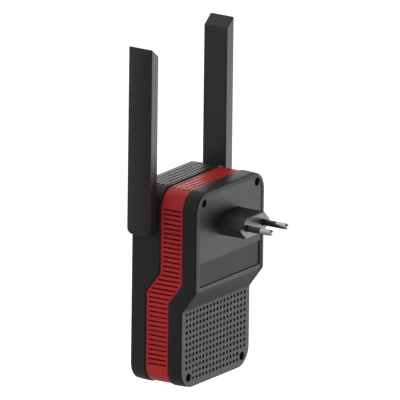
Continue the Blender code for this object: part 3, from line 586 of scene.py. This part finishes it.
MATERIALS = {
    "black": plastic("black plastic", (0.0165, 0.0165, 0.0170), 0.42, specular=0.18),
    "blade": plastic("antenna plastic", (0.0195, 0.0195, 0.0200), 0.40, specular=0.27),
    "grey": plastic(
        "grey plastic", (0.0205, 0.0205, 0.0210), 0.5, grain=0.3, edge_highlight=1.0, specular=0.20
    ),
    "red": plastic("red plastic", (0.49, 0.021, 0.024), 0.42, edge_highlight=1.0, specular=0.22),
    # The plug is the grey plastic painted lighter: painted light for the stronger light that falls
    # on it
    "plug": plastic(
        "grey plastic painted lighter", (0.027, 0.027, 0.0275), 0.38, grain=0.4, edge_highlight=1.8, specular=0.42
    ),
    "sleeve": plastic("sleeve plastic", (0.012, 0.012, 0.013), 0.35, grain=0.2),
    "label": plastic(
        "label film", (0.0170, 0.0170, 0.0175), 0.55, grain=0.2, edge_highlight=1.2, specular=0.13
    ),
    "sheet": plastic("insulating film", (0.62, 0.60, 0.52), 0.45, grain=0.1, edge_highlight=1.1),
    "ferrite": plastic("component moulding", (0.03, 0.03, 0.03), 0.6),
    "can": plastic("capacitor sleeve", (0.03, 0.04, 0.09), 0.3, grain=0.1),
    "nickel": metal("nickel plate", (0.45, 0.445, 0.44), 0.12, marks=0.05),
    "brass": metal("brass", (0.72, 0.50, 0.19), 0.28),
    "steel": metal("zinc plated steel", (0.50, 0.50, 0.51), 0.32),
    "tin": metal("tin plate", (0.62, 0.62, 0.63), 0.36),
    "aluminium": metal("extruded aluminium", (0.62, 0.63, 0.65), 0.36, (1, 1, 0.05)),
    "board": circuit_board("circuit board", (0.012, 0.085, 0.035), (0.65, 0.50, 0.22)),
    "lens": clear_plastic("clear plastic", (0.82, 0.87, 0.90)),
}


# ---------------------------------------------------------------------- casing


def soft_ramp(t):
    """A ramp from flat to slope 1 whose corner at 0 is rounded."""
    if abs(t) < BEND:
        return (t + BEND) ** 2 / (4 * BEND)
    return max(t, 0.0)


def depth_at(seam, z):
    """Depth of a stepped seam at height z, with its two bends rounded."""
    upper, lower, start, end = seam
    slope = (upper - lower) / (start - end)
    return lower + slope * (soft_ramp(z - end) - soft_ramp(z - start))


def bend_heights(seams):
    """Heights at which the casing's sides need points to follow the rounded bends."""
    shares = (-1.0, -0.6, -0.2, 0.2, 0.6, 1.0)
    return sorted({z + BEND * share for seam in seams for z in seam[2:] for share in shares})


def casing_outline(inset, seams):
    """The casing's rounded outline as (x, z), with points on each side where a seam bends."""
    half = WIDTH / 2 - inset
    low, high = inset, HEIGHT - inset
    radius = CORNER - inset
    bends = bend_heights(seams)
    points = [(half, z) for z in bends]
    corners = [
        (half - radius, high - radius, 0),
        (radius - half, high - radius, 90),
        (radius - half, low + radius, 180),
        (half - radius, low + radius, 270),
    ]
    for index, (x, z, start) in enumerate(corners):
        points += [(x + dx, z + dz) for dx, dz in quarter(radius, CORNER_STEPS, start)]
        if index == 1:
            points += [(-half, z) for z in reversed(bends)]
    return points


def casing_loop(inset, seams, surface):
    """The outline on a surface, which is a function that gives the depth at a height."""
    return [(x, surface(z), z) for x, z in casing_outline(inset, seams)]


def level(depth):
    """A surface at one depth."""
    return lambda z: depth


def seam_plus(seam, offset):
    """A surface that keeps its distance behind a seam."""
    return lambda z: depth_at(seam, z) + offset


def between(near, far, share):
    """A surface part of the way from one to another."""
    return lambda z: near(z) + (far(z) - near(z)) * share


def outside_of_ring(front, rear, outer, rounding, crown=0.0):
    """The outside of a ring wall, rounded at both seams and drawn in rearwards by a crown."""
    seams = [front, rear]
    start, end = GAP / 2, -GAP / 2
    loops = []
    for across, along in quarter(rounding, 4, 180):
        inset = outer + rounding + along
        loops.append(casing_loop(inset, seams, seam_plus(front, start + rounding + across)))
    for step in range(1, DRAFT_STEPS if crown else 1):
        share = step / DRAFT_STEPS
        surface = between(
            seam_plus(front, start + rounding), seam_plus(rear, end - rounding), share
        )
        loops.append(casing_loop(outer + crown * share**2, seams, surface))
    for across, along in reversed(quarter(rounding, 4, 180)):
        inset = outer + crown + rounding + along
        loops.append(casing_loop(inset, seams, seam_plus(rear, end - rounding - across)))
    return loops


def straight_inside(front, rear, inner):
    """The plain inside of a ring wall."""
    seams = [front, rear]
    steps = [(rear, -GAP / 2), (front, GAP / 2)]
    return [casing_loop(inner, seams, seam_plus(seam, offset)) for seam, offset in steps]


def lipped_inside(front, rear, inner):
    """The inside of a ring wall with a lip at each end that reaches under its neighbour."""
    lip = FRONT_WALL + GAP
    under = lip + LIP_THICK
    steps = [
        (lip, rear, -GAP / 2),
        (lip, rear, LIP_REACH),
        (under, rear, LIP_REACH),
        (under, rear, -LIP_ROOT),
        (inner, rear, -LIP_ROOT),
        (inner, front, LIP_ROOT),
        (under, front, LIP_ROOT),
        (under, front, -LIP_REACH),
        (lip, front, -LIP_REACH),
        (lip, front, GAP / 2),
    ]
    return [
        casing_loop(inset, [front, rear], seam_plus(seam, offset)) for inset, seam, offset in steps
    ]


def flared_box(centre, half, top):
    """A cutter that goes down from top, widening a little at the surface."""
    x, y = centre
    sections = [
        (HOLE_FLARE, top + PAST),
        (HOLE_FLARE, top),
        (0, top - HOLE_FLARE),
        (0, top - THROUGH),
    ]
    loops = []
    for grow, z in sections:
        a, b = half[0] + grow, half[1] + grow
        loops.append([(x - a, y - b, z), (x + a, y - b, z), (x + a, y + b, z), (x - a, y + b, z)])
    return lofted(loops)


def top_mesh(rows, top):
    """Cutters for a square ventilation mesh through the casing's top."""
    half = (MESH_HOLE[0] / 2, MESH_HOLE[1] / 2)
    first = -(MESH_COLUMNS - 1) / 2 * MESH_PITCH[0]
    columns = [first + column * MESH_PITCH[0] for column in range(MESH_COLUMNS)]
    return [flared_box((x, y), half, top) for y in rows for x in columns]


def case_screw_places():
    """Each case screw as (x, z, depth of the back seam there)."""
    return [(side * x, z, depth) for x, z, depth in SCREW_ROWS for side in (-1, 1)]


def front_sides(seams):
    """Loops along the front shell's sides, which draw in a little towards the front face."""
    front, rear = level(FRONT_ROUND), seam_plus(FRONT_SEAM, 0.0)
    loops = []
    for step in range(DRAFT_STEPS):
        share = step / DRAFT_STEPS
        inset = FRONT_DRAFT * (1 - share) ** 2
        loops.append(casing_loop(inset, seams, between(front, rear, share)))
    return loops


def front_shell():
    """The tray on the room side, with its screw posts, vent mesh and holes."""
    seams = [FRONT_SEAM]
    loops = [
        casing_loop(FRONT_DRAFT + FRONT_ROUND - across, seams, level(FRONT_ROUND - along))
        for across, along in reversed(quarter(FRONT_ROUND, 6, 0)[1:])
    ]
    loops += front_sides(seams)
    rim = seam_plus(FRONT_SEAM, -GAP / 2)
    chamfer = RIM_ROUND * 0.3
    loops += [
        casing_loop(0.0, seams, seam_plus(FRONT_SEAM, -GAP / 2 - RIM_ROUND)),
        casing_loop(chamfer, seams, seam_plus(FRONT_SEAM, -GAP / 2 - chamfer)),
        casing_loop(RIM_ROUND, seams, rim),
        casing_loop(FRONT_WALL, seams, rim),
        casing_loop(FRONT_WALL, seams, level(FRONT_WALL)),
    ]
    shell = linked("front_shell_fine", lofted(loops))
    posts = []
    for x, z, depth in case_screw_places():
        top = depth - WELL_DEPTH - GAP
        posts.append(moved(rod(POST_RADIUS, FRONT_WALL / 2, top), (x, 0, z), "Y"))
    cut_out(shell, posts, "UNION")
    button = [
        (WPS_RADIUS + GAP + FLARE, -MM),
        (WPS_RADIUS + GAP + FLARE, 0),
        (WPS_RADIUS + GAP, FLARE),
        (WPS_RADIUS + GAP, FRONT_WALL + MM),
    ]
    holes = [moved(turned(button, BUTTON_SIDES), (0, 0, WPS_Z), "Y")]
    for x in LED_X:
        light = rod(LED_RADIUS + GAP / 2, -MM, FRONT_WALL + MM, BORE_SIDES)
        holes.append(moved(light, (x, 0, LED_Z), "Y"))
    across = rod(BUSH_RADIUS + GAP, -WIDTH, WIDTH, BORE_SIDES)
    holes.append(moved(across, (0, PIVOT_Y, PIVOT_Z), "X"))
    cut_out(shell, [*holes, *top_mesh(FRONT_MESH_Y, HEIGHT)])
    finished(shell, "housing", MATERIALS["black"], "black_plastic", "front_shell")


def slot_outline(low, high, grow):
    """A slot's (y, z) outline, whose ends keep their distance from the band's two seams."""
    front = seam_plus(FRONT_SEAM, SLOT_FRONT_MARGIN - grow)
    rear = seam_plus(REAR_SEAM, grow - SLOT_REAR_MARGIN)
    low, high = low - grow, high + grow
    return [(front(low), low), (rear(low), low), (rear(high), high), (front(high), high)]


def side_slots():
    """Cutters for the rows of vents through each side; their ends follow the band's edges."""
    pitch = (SLOT_HIGH - SLOT_LOW) / (SLOT_COUNT - 1)
    surface = WIDTH / 2 - BAND_RECESS
    slots = []
    for row in range(SLOT_COUNT):
        low = SLOT_LOW + row * pitch - SLOT_HEIGHT / 2
        high = low + SLOT_HEIGHT
        for side in (-1, 1):
            sections = [(0, surface - SLOT_DEPTH), (0, surface - FLARE)]
            sections += [(FLARE, surface), (FLARE, surface + PAST)]
            loops = [
                [(side * x, y, z) for y, z in slot_outline(low, high, grow)]
                for grow, x in sections
            ]
            slots.append(lofted(loops))
    return slots


def red_vent_band():
    """The red ring, with its slots, vent mesh, jack opening and pinhole."""
    loops = outside_of_ring(FRONT_SEAM, REAR_SEAM, BAND_RECESS, BAND_ROUND)
    loops += lipped_inside(FRONT_SEAM, REAR_SEAM, BAND_RECESS + BAND_WALL)
    band = linked("red_vent_band_fine", lofted(loops, closed=True))
    posts = []
    for x, z, _ in case_screw_places():
        clearance = rod(POST_RADIUS + GAP, FRONT_SEAM[1] - PAST, REAR_SEAM[0] + PAST)
        posts.append(moved(clearance, (x, 0, z), "Y"))
    jack = block(
        (-JACK_HALF - GAP, JACK_Y[0] - GAP, -MM), (JACK_HALF + GAP, JACK_Y[1] + GAP, THROUGH)
    )
    pinhole = moved(rod(PINHOLE_RADIUS, -MM, THROUGH), (*RESET, 0))
    mesh = top_mesh(BAND_MESH_Y, HEIGHT - BAND_RECESS)
    cut_out(band, [*side_slots(), *mesh, *posts, jack, pinhole])
    finished(band, "housing", MATERIALS["red"], "red_plastic", "red_vent_band")


def rear_band():
    """The plain black ring between the red one and the cover."""
    loops = outside_of_ring(REAR_SEAM, BACK_SEAM, 0.0, REAR_ROUND, REAR_CROWN)
    loops += straight_inside(REAR_SEAM, BACK_SEAM, REAR_WALL)
    band = linked("rear_band_fine", lofted(loops, closed=True))
    finished(band, "housing", MATERIALS["black"], "black_plastic", "rear_band")


def grille_holes():
    """Cutters for the round perforations in the lower back; the two lowest rows stop short."""
    face = BACK_SEAM[1] + COVER_FIELD
    profile = [
        (GRILLE_RADIUS, face - THROUGH),
        (GRILLE_RADIUS, face - HOLE_FLARE),
        (GRILLE_RADIUS + HOLE_FLARE, face),
        (GRILLE_RADIUS + HOLE_FLARE, face + PAST),
    ]
    holes = []
    first = -(GRILLE_COLUMNS - 1) / 2 * GRILLE_PITCH[0]
    for row in range(GRILLE_ROWS):
        spare = GRILLE_SHORT_BY if row < GRILLE_SHORT_ROWS else 0
        z = GRILLE_LOW + row * GRILLE_PITCH[1]
        for column in range(spare, GRILLE_COLUMNS - spare):
            x = first + column * GRILLE_PITCH[0]
            holes.append(moved(turned(profile, HOLE_SIDES), (x, 0, z), "Y"))
    return holes


def plug_outline(grow):
    """The flat six-sided section of a europlug as (x, z)."""
    half, flat, high = PLUG_WIDTH / 2 + grow, PLUG_FLAT / 2 + grow / 2, PLUG_HEIGHT / 2 + grow
    points = [(half, 0), (flat, high), (-flat, high), (-half, 0), (-flat, -high), (flat, -high)]
    return [(x, z + PLUG_Z) for x, z in rounded(points, PLUG_ROUND + grow)]


def cover_bores():
    """Cutters for the screw wells: a wide bore down to the floor and a narrow one through it."""
    bores = []
    for x, z, depth in case_screw_places():
        floor = depth - WELL_DEPTH
        mouth = depth + COVER_FIELD
        profile = [
            (SCREW_BORE, floor - MM),
            (SCREW_BORE, floor + WELL_FLOOR),
            (WELL_BORE, floor + WELL_FLOOR),
            (WELL_BORE, mouth - FLARE),
            (WELL_BORE + FLARE, mouth),
            (WELL_BORE + FLARE, mouth + PAST),
        ]
        bores.append(moved(turned(profile, SCREW_SIDES), (x, 0, z), "Y"))
    return bores


def back_cover():
    """The stepped cover, with its screw wells, grille, label recess and plug opening."""
    seams = [BACK_SEAM]
    lip = REAR_WALL + GAP
    sections = [
        (lip, COVER_FIELD - COVER_WALL),
        (lip, GAP / 2),
        (COVER_EDGE, GAP / 2),
        (COVER_EDGE, COVER_SKIRT - SKIRT_ROUND),
    ]
    loops = [casing_loop(inset, seams, seam_plus(BACK_SEAM, rise)) for inset, rise in sections]
    skirt = seam_plus(BACK_SEAM, COVER_SKIRT)
    rim = seam_plus(RIM_SEAM, 0.0)
    for inset, share in COVER_BEVEL:
        loops.append(casing_loop(inset, seams, between(skirt, rim, share)))
    loops.append(casing_loop(COVER_RIM + GAP, seams, seam_plus(BACK_SEAM, COVER_FIELD)))
    cover = linked("back_cover_fine", lofted(loops, levels=bend_heights(seams)))
    wells = [
        moved(rod(WELL_RADIUS, depth - WELL_DEPTH, depth, BORE_SIDES), (x, 0, z), "Y")
        for x, z, depth in case_screw_places()
    ]
    cut_out(cover, wells, "UNION")
    corners = [
        (LABEL_HALF, LABEL_LOW),
        (LABEL_HALF, LABEL_HIGH),
        (-LABEL_HALF, LABEL_HIGH),
        (-LABEL_HALF, LABEL_LOW),
    ]
    recess = [
        [(x, depth, z) for x, z in rounded(corners, RECESS_CORNER, 4)]
        for depth in (COVER_FACE - LABEL_DEPTH, COVER_FACE + PAST)
    ]
    opening = [
        [(x, depth, z) for x, z in plug_outline(GAP)]
        for depth in (COVER_FACE - THROUGH, COVER_FACE + PAST)
    ]
    cut_out(cover, [*cover_bores(), lofted(recess), lofted(opening), *grille_holes()])
    finished(cover, "housing", MATERIALS["grey"], "grey_plastic", "back_cover", sharp=24)


def rating_label():
    """A blank plate in the recess, with a fine bevel round its face."""
    low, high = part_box("rating_label")
    loops = []
    for inset, y in ((0.0, low.y), (0.0, high.y - LABEL_BEVEL), (LABEL_BEVEL, high.y)):
        left, right = low.x + inset, high.x - inset
        bottom, top = low.z + inset, high.z - inset
        corners = [(right, bottom), (right, top), (left, top), (left, bottom)]
        loops.append([(x, y, z) for x, z in rounded(corners, LABEL_CORNER, 4)])
    label = linked("rating_label_fine", lofted(loops))
    label.location = -BASE
    finished(label, "housing", MATERIALS["label"], "label_film", "rating_label")


def cross_outline():
    """The outline of a cross recess, arm by arm from the right one."""
    points = []
    for across, along in ((1, 0), (0, 1), (-1, 0), (0, -1)):
        for side in (-1, 1):
            points.append(
                (
                    across * CROSS_ARM - along * side * CROSS_HALF,
                    along * CROSS_ARM + across * side * CROSS_HALF,
                )
            )
        points.append(((across - along) * CROSS_HALF, (across + along) * CROSS_HALF))
    return points


def case_screws():
    """Screws with a low domed head and a cross recess that narrows downwards."""
    for number, (x, z, depth) in enumerate(case_screw_places(), 1):
        seat = depth - WELL_DEPTH + WELL_FLOOR + GAP / 2
        rim = seat + HEAD_RIM
        top = rim + HEAD_DOME
        profile = [(SCREW_SHANK, seat - SCREW_LENGTH), (SCREW_SHANK, seat), (SCREW_HEAD, seat)]
        profile.append((SCREW_HEAD, rim))
        for step in range(1, DOME_STEPS + 1):
            angle = step / DOME_STEPS * DOME_SWEEP
            rise = HEAD_DOME * math.sin(angle) / math.sin(DOME_SWEEP)
            profile.append((SCREW_HEAD * math.cos(angle), rim + rise))
        made = moved(turned(profile, SCREW_SIDES), (x, 0, z), "Y")
        screw = linked(f"case_screw_fine_{number}", made)
        cross = [
            [(x + a * grow, y, z + b * grow) for a, b in cross_outline()]
            for grow, y in ((0.5, top - CROSS_DEPTH), (1.0, top + MM))
        ]
        cut_out(screw, [lofted(cross)])
        finished(screw, "housing", MATERIALS["steel"], "steel", f"case_screw_{number}")


# ------------------------------------------------------------------------ plug


def pin_turn(side):
    """The pins lean towards each other."""
    lean = math.atan((PIN_PITCH - PIN_TIP_PITCH) / 2 / PIN_LENGTH)
    return Matrix.Rotation(side * lean, 4, "Z")


def plug_body():
    """The six-sided plug block, with a flange behind the cover and a bore for each pin."""
    low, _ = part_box("plug_body")
    inner_y = low.y - BASE.y
    flange_y = COVER_FACE - COVER_WALL - GAP
    sections = [
        (0.0, inner_y),
        (0.0, flange_y - PLUG_FLANGE),
        (PLUG_FLANGE, flange_y - PLUG_FLANGE),
        (PLUG_FLANGE, flange_y),
        (0.0, flange_y),
    ]
    for across, along in quarter(PLUG_EDGE, 5, 0):
        sections.append((across - PLUG_EDGE, PLUG_FACE_Y - PLUG_EDGE + along))
    loops = [[(x, depth, z) for x, z in plug_outline(grow)] for grow, depth in sections]
    body = linked("plug_body_fine", lofted(loops))
    ring = PIN_RADIUS + GAP / 2
    profile = [
        (PIN_BORE, inner_y - PLUG_FACE_Y - PAST),
        (PIN_BORE, -SLEEVE_SINK - GAP),
        (ring, -SLEEVE_SINK - GAP),
        (ring, -FLARE),
        (ring + FLARE, 0),
        (ring + FLARE, PAST),
    ]
    holes = []
    for side in (-1, 1):
        place = (side * PIN_PITCH / 2, PLUG_FACE_Y, PLUG_Z)
        holes.append(moved(turned(profile, BORE_SIDES), place, "Y", pin_turn(side)))
    cut_out(body, holes)
    finished(body, "housing", MATERIALS["plug"], "grey_plastic", "plug_body", sharp=24)


def plug_pins():
    """Domed metal pins, thinner where an insulating sleeve surrounds them."""
    low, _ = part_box("plug_pin_left")
    gap = GAP / 2
    bare = SLEEVE_LENGTH + gap
    pin = [(PIN_CORE, low.y), (PIN_CORE, bare), (PIN_RADIUS - PIN_COLLAR, bare)]
    pin.append((PIN_RADIUS, bare + PIN_COLLAR))
    for angle in PIN_DOME_ANGLES:
        rise = PIN_RADIUS * math.sin(angle)
        pin.append((PIN_RADIUS * math.cos(angle), PIN_LENGTH - PIN_RADIUS + rise))
    sleeve = [
        (PIN_RADIUS, -SLEEVE_SINK),
        (PIN_RADIUS, SLEEVE_LENGTH - PIN_COLLAR),
        (PIN_RADIUS - PIN_COLLAR, SLEEVE_LENGTH),
        (PIN_CORE + gap, SLEEVE_LENGTH),
        (PIN_CORE + gap, -SLEEVE_SINK),
    ]
    for side, name in SIDES:
        place = (side * PIN_PITCH / 2, PLUG_FACE_Y, PLUG_Z)
        turn = pin_turn(side)
        made = moved(turned(pin, PIN_SIDES), place, "Y", turn)
        metal_pin = linked(f"plug_pin_fine_{name}", made)
        finished(metal_pin, "housing", MATERIALS["nickel"], "pin_metal", f"plug_pin_{name}")
        made = moved(turned(sleeve, PIN_SIDES, closed=True), place, "Y", turn)
        cover = linked(f"pin_sleeve_fine_{name}", made)
        finished(cover, "housing", MATERIALS["sleeve"], "black_plastic", f"pin_sleeve_{name}")


# -------------------------------------------------------------------- antennas


def blade_outline(x, inset):
    """The blade's (y, z) outline around its pivot at x outside its inner face."""
    half = BLADE_DEPTH / 2 - inset
    low = -FOOT_BELOW_PIVOT + inset
    high = BLADE_LENGTH - FOOT_BELOW_PIVOT - TIP_DROP * (1 - x / BLADE_THICK) - inset
    foot = min(max(BLADE_FOOT - inset, MM), half)
    tip = min(BLADE_TIP, half)
    points = [(half - tip + a, high - tip + b) for a, b in quarter(tip, 3, 0)]
    points += [(tip - half + a, high - tip + b) for a, b in quarter(tip, 3, 90)]
    points += [(foot - half + a, low + foot + b) for a, b in quarter(foot, 10, 180)]
    points += [(half - foot + a, low + foot + b) for a, b in quarter(foot, 10, 270)]
    return points


def blade_loop(side, x, inset):
    """The blade's outline at x outside the casing's side."""
    return [(side * x, y, z) for y, z in blade_outline(x - BLADE_CLEAR, inset)]


def antenna(side, name):
    """A hollow blade and the lid that closes its inner side."""
    near = BLADE_CLEAR
    far = BLADE_CLEAR + BLADE_THICK
    place = Vector((side * WIDTH / 2, PIVOT_Y, PIVOT_Z))
    body = f"antenna_{name}"
    half = BLADE_DEPTH / 2

    def face(inset):
        """The outer face swells a little towards its middle."""
        return far - BLADE_SWELL * (1 - inset / half) ** 2

    insets = [half - (half - BLADE_EDGE) * k / SWELL_STEPS for k in range(SWELL_STEPS + 1)]
    insets[0] = half - SWELL_CORE
    loops = [blade_loop(side, face(inset), inset) for inset in insets]
    loops += [
        blade_loop(side, face(BLADE_EDGE) - BLADE_EDGE + along, BLADE_EDGE - across)
        for across, along in reversed(quarter(BLADE_EDGE, 5, 0)[:-1])
    ]
    loops += [
        blade_loop(side, near + INNER_EDGE - along, INNER_EDGE - across)
        for across, along in quarter(INNER_EDGE, 3, 0)
    ]
    loops += [
        blade_loop(side, near, BLADE_WALL),
        blade_loop(side, far - BLADE_WALL, BLADE_WALL),
    ]
    shell = linked(f"antenna_shell_fine_{name}", lofted(loops))
    shell.location = place
    finished(shell, body, MATERIALS["blade"], "antenna_plastic", f"antenna_shell_{name}")

    inset = BLADE_WALL + LID_GAP
    loops = [
        blade_loop(side, near, inset + LID_GAP),
        blade_loop(side, near + LID_GAP, inset),
        blade_loop(side, near + BLADE_WALL, inset),
    ]
    lid = linked(f"antenna_lid_fine_{name}", lofted(loops))
    cut_out(lid, [moved(rod(LID_BORE, -far, far, BORE_SIDES), axis="X")])
    lid.location = place
    finished(lid, body, MATERIALS["blade"], "antenna_plastic", f"antenna_lid_{name}")


# ------------------------------------------------------------- front, underside


def wps_button():
    """The button's cap is slightly dished, with a rounded edge."""
    flange = FRONT_WALL + GAP
    profile = []
    for radius in DISH_RADII:
        rise = DISH_DEPTH * (radius / DISH_RADII[-1]) ** 2
        profile.append((radius, -DISH_MIDDLE - rise))
    for across, along in reversed(quarter(WPS_EDGE, 5, 0)):
        profile.append((WPS_RADIUS - WPS_EDGE + across, -along))
    profile += [
        (WPS_RADIUS, flange),
        (WPS_RADIUS + WPS_FLANGE, flange),
        (WPS_RADIUS + WPS_FLANGE, flange + WPS_FLANGE),
        (WPS_STEM, flange + WPS_FLANGE),
        (WPS_STEM, WPS_REACH),
    ]
    made = moved(turned(profile, BUTTON_SIDES), (0, 0, WPS_Z), "Y")
    button = linked("wps_button_fine", made)
    finished(button, "wps_button", MATERIALS["black"], "black_plastic", "wps_button")


def light_pipes():
    """Three status lights with slightly crowned ends."""
    profile = [
        (LED_RADIUS * math.sin(angle), CROWN_BASE - CROWN_HEIGHT * math.cos(angle))
        for angle in CROWN_ANGLES
    ]
    profile.append((LED_RADIUS, LED_BACK))
    for number, x in enumerate(LED_X, 1):
        made = moved(turned(profile, BORE_SIDES), (x, 0, LED_Z), "Y")
        pipe = linked(f"led_light_pipe_fine_{number}", made)
        finished(pipe, "housing", MATERIALS["lens"], "clear_plastic", f"led_light_pipe_{number}")


def jack_contacts():
    """Gold springs that slope back from the jack's mouth."""
    springs = []
    for contact in range(CONTACT_COUNT):
        middle = (contact - (CONTACT_COUNT - 1) / 2) * CONTACT_PITCH
        left, right = middle - CONTACT_HALF, middle + CONTACT_HALF
        loops = []
        for y, z in CONTACT_PATH:
            back = y + CONTACT_THICK
            loops.append([(left, y, z), (right, y, z), (right, back, z), (left, back, z)])
        springs.append(lofted(loops))
    contacts = linked("jack_contacts", joined(springs))
    finished(contacts, "housing", MATERIALS["brass"], "brass")


def carried_over():
    """The CAD pieces inside the casing keep their shapes and get finished materials."""
    looks = {
        "board": ["main_board", "power_board", "antenna_radiator_left", "antenna_radiator_right"],
        "tin": ["rf_shield", "ethernet_jack"],
        "aluminium": ["processor_heatsink"],
        "ferrite": ["transformer", "wps_switch", "reset_switch"],
        "can": ["input_capacitor_1", "input_capacitor_2", "output_capacitor"],
        "lens": ["mains_fuse"],
        "sheet": ["insulation_sheet"],
        "black": ["reset_button"],
    }
    looks["steel"] = [f"board_screw_{number}" for number in range(1, 5)]
    looks["brass"] = []
    for _, name in SIDES:
        looks["brass"] += [f"pin_terminal_{name}", f"lead_connector_{name}"]
        looks["steel"].append(f"hinge_washer_{name}")
        looks["black"] += [f"hinge_bush_{name}", f"hinge_pin_{name}", f"antenna_lead_{name}"]
    for look, nodes in looks.items():
        for node in nodes:
            obj = frame["nodes"][node]
            obj.data.materials.clear()
            obj.data.materials.append(MATERIALS[look])


# ----------------------------------------------------------------------- stage


def facing(azimuth, elevation, roll):
    """Right, up and back directions of a view, from angles in degrees."""
    a, e = math.radians(azimuth), math.radians(elevation)
    back = Vector((math.sin(a) * math.cos(e), -math.cos(a) * math.cos(e), math.sin(e)))
    right = Vector((math.cos(a), math.sin(a), 0))
    right.rotate(Matrix.Rotation(math.radians(roll), 3, back))
    return right, back.cross(right), back


def camera():
    """A parallel view from behind, to the side and above, a touch out of level."""
    right, up, back = facing(CAMERA_AZIMUTH, CAMERA_ELEVATION, CAMERA_ROLL)
    aim = BASE + Vector(CAMERA_AIM)
    data = bpy.data.cameras.new("camera")
    data.type = "ORTHO"
    data.ortho_scale = CAMERA_SPAN
    data.clip_start, data.clip_end = CAMERA_CLIP
    obj = bpy.data.objects.new("camera", data)
    turn = Matrix((right, up, back)).transposed().to_4x4()
    obj.matrix_world = Matrix.Translation(aim + back) @ turn
    bpy.context.scene.collection.objects.link(obj)
    bpy.context.scene.camera = obj


def softbox(name, place, size, power):
    """A square area light that faces the lit point."""
    data = bpy.data.lights.new(name, "AREA")
    data.shape = "RECTANGLE"
    data.size = data.size_y = size
    data.energy = power
    obj = bpy.data.objects.new(name, data)
    obj.location = place
    towards = Vector(LIT_POINT) - Vector(place)
    obj.rotation_euler = towards.to_track_quat("-Z", "Y").to_euler()
    bpy.context.scene.collection.objects.link(obj)


def white_to_camera(tree, dimmed):
    """An emission that the camera sees as white and that lights the object less."""
    path = tree.nodes.new("ShaderNodeLightPath")
    level = tree.nodes.new("ShaderNodeMapRange")
    level.inputs["To Min"].default_value = dimmed
    level.inputs["To Max"].default_value = 1.0
    tree.links.new(path.outputs["Is Camera Ray"], level.inputs["Value"])
    return level.outputs["Result"]


def world():
    """White surroundings."""
    made = bpy.data.worlds.new("studio")
    made.use_nodes = True
    tree = made.node_tree
    background = tree.nodes["Background"]
    background.inputs["Color"].default_value = (1, 1, 1, 1)
    tree.links.new(white_to_camera(tree, AMBIENT), background.inputs["Strength"])
    bpy.context.scene.world = made


def floor():
    """A plain pale floor well below the object."""
    bm = bmesh.new()
    bmesh.ops.create_grid(bm, x_segments=1, y_segments=1, size=FLOOR_HALF)
    obj = linked("floor", bm)
    obj.location = (0, 0, FLOOR_Z)
    material = bpy.data.materials.new("floor")
    material.use_nodes = True
    tree = material.node_tree
    shader = tree.nodes["Principled BSDF"]
    shader.inputs["Base Color"].default_value = (FLOOR_TONE, FLOOR_TONE, FLOOR_TONE, 1)
    shader.inputs["Roughness"].default_value = FLOOR_ROUGHNESS
    shader.inputs["Emission Color"].default_value = (1, 1, 1, 1)
    tree.links.new(white_to_camera(tree, FLOOR_GLOW), shader.inputs["Emission Strength"])
    obj.data.materials.append(material)


def studio():
    """The surroundings, the floor and the lights."""
    world()
    floor()
    for name, place, size, power in SOFTBOXES:
        softbox(name, place, size, power)
    bpy.context.scene.view_settings.view_transform = "Standard"


camera()
studio()
front_shell()
red_vent_band()
rear_band()
back_cover()
rating_label()
case_screws()
plug_body()
plug_pins()
for side, name in SIDES:
    antenna(side, name)
wps_button()
light_pipes()
jack_contacts()
carried_over()
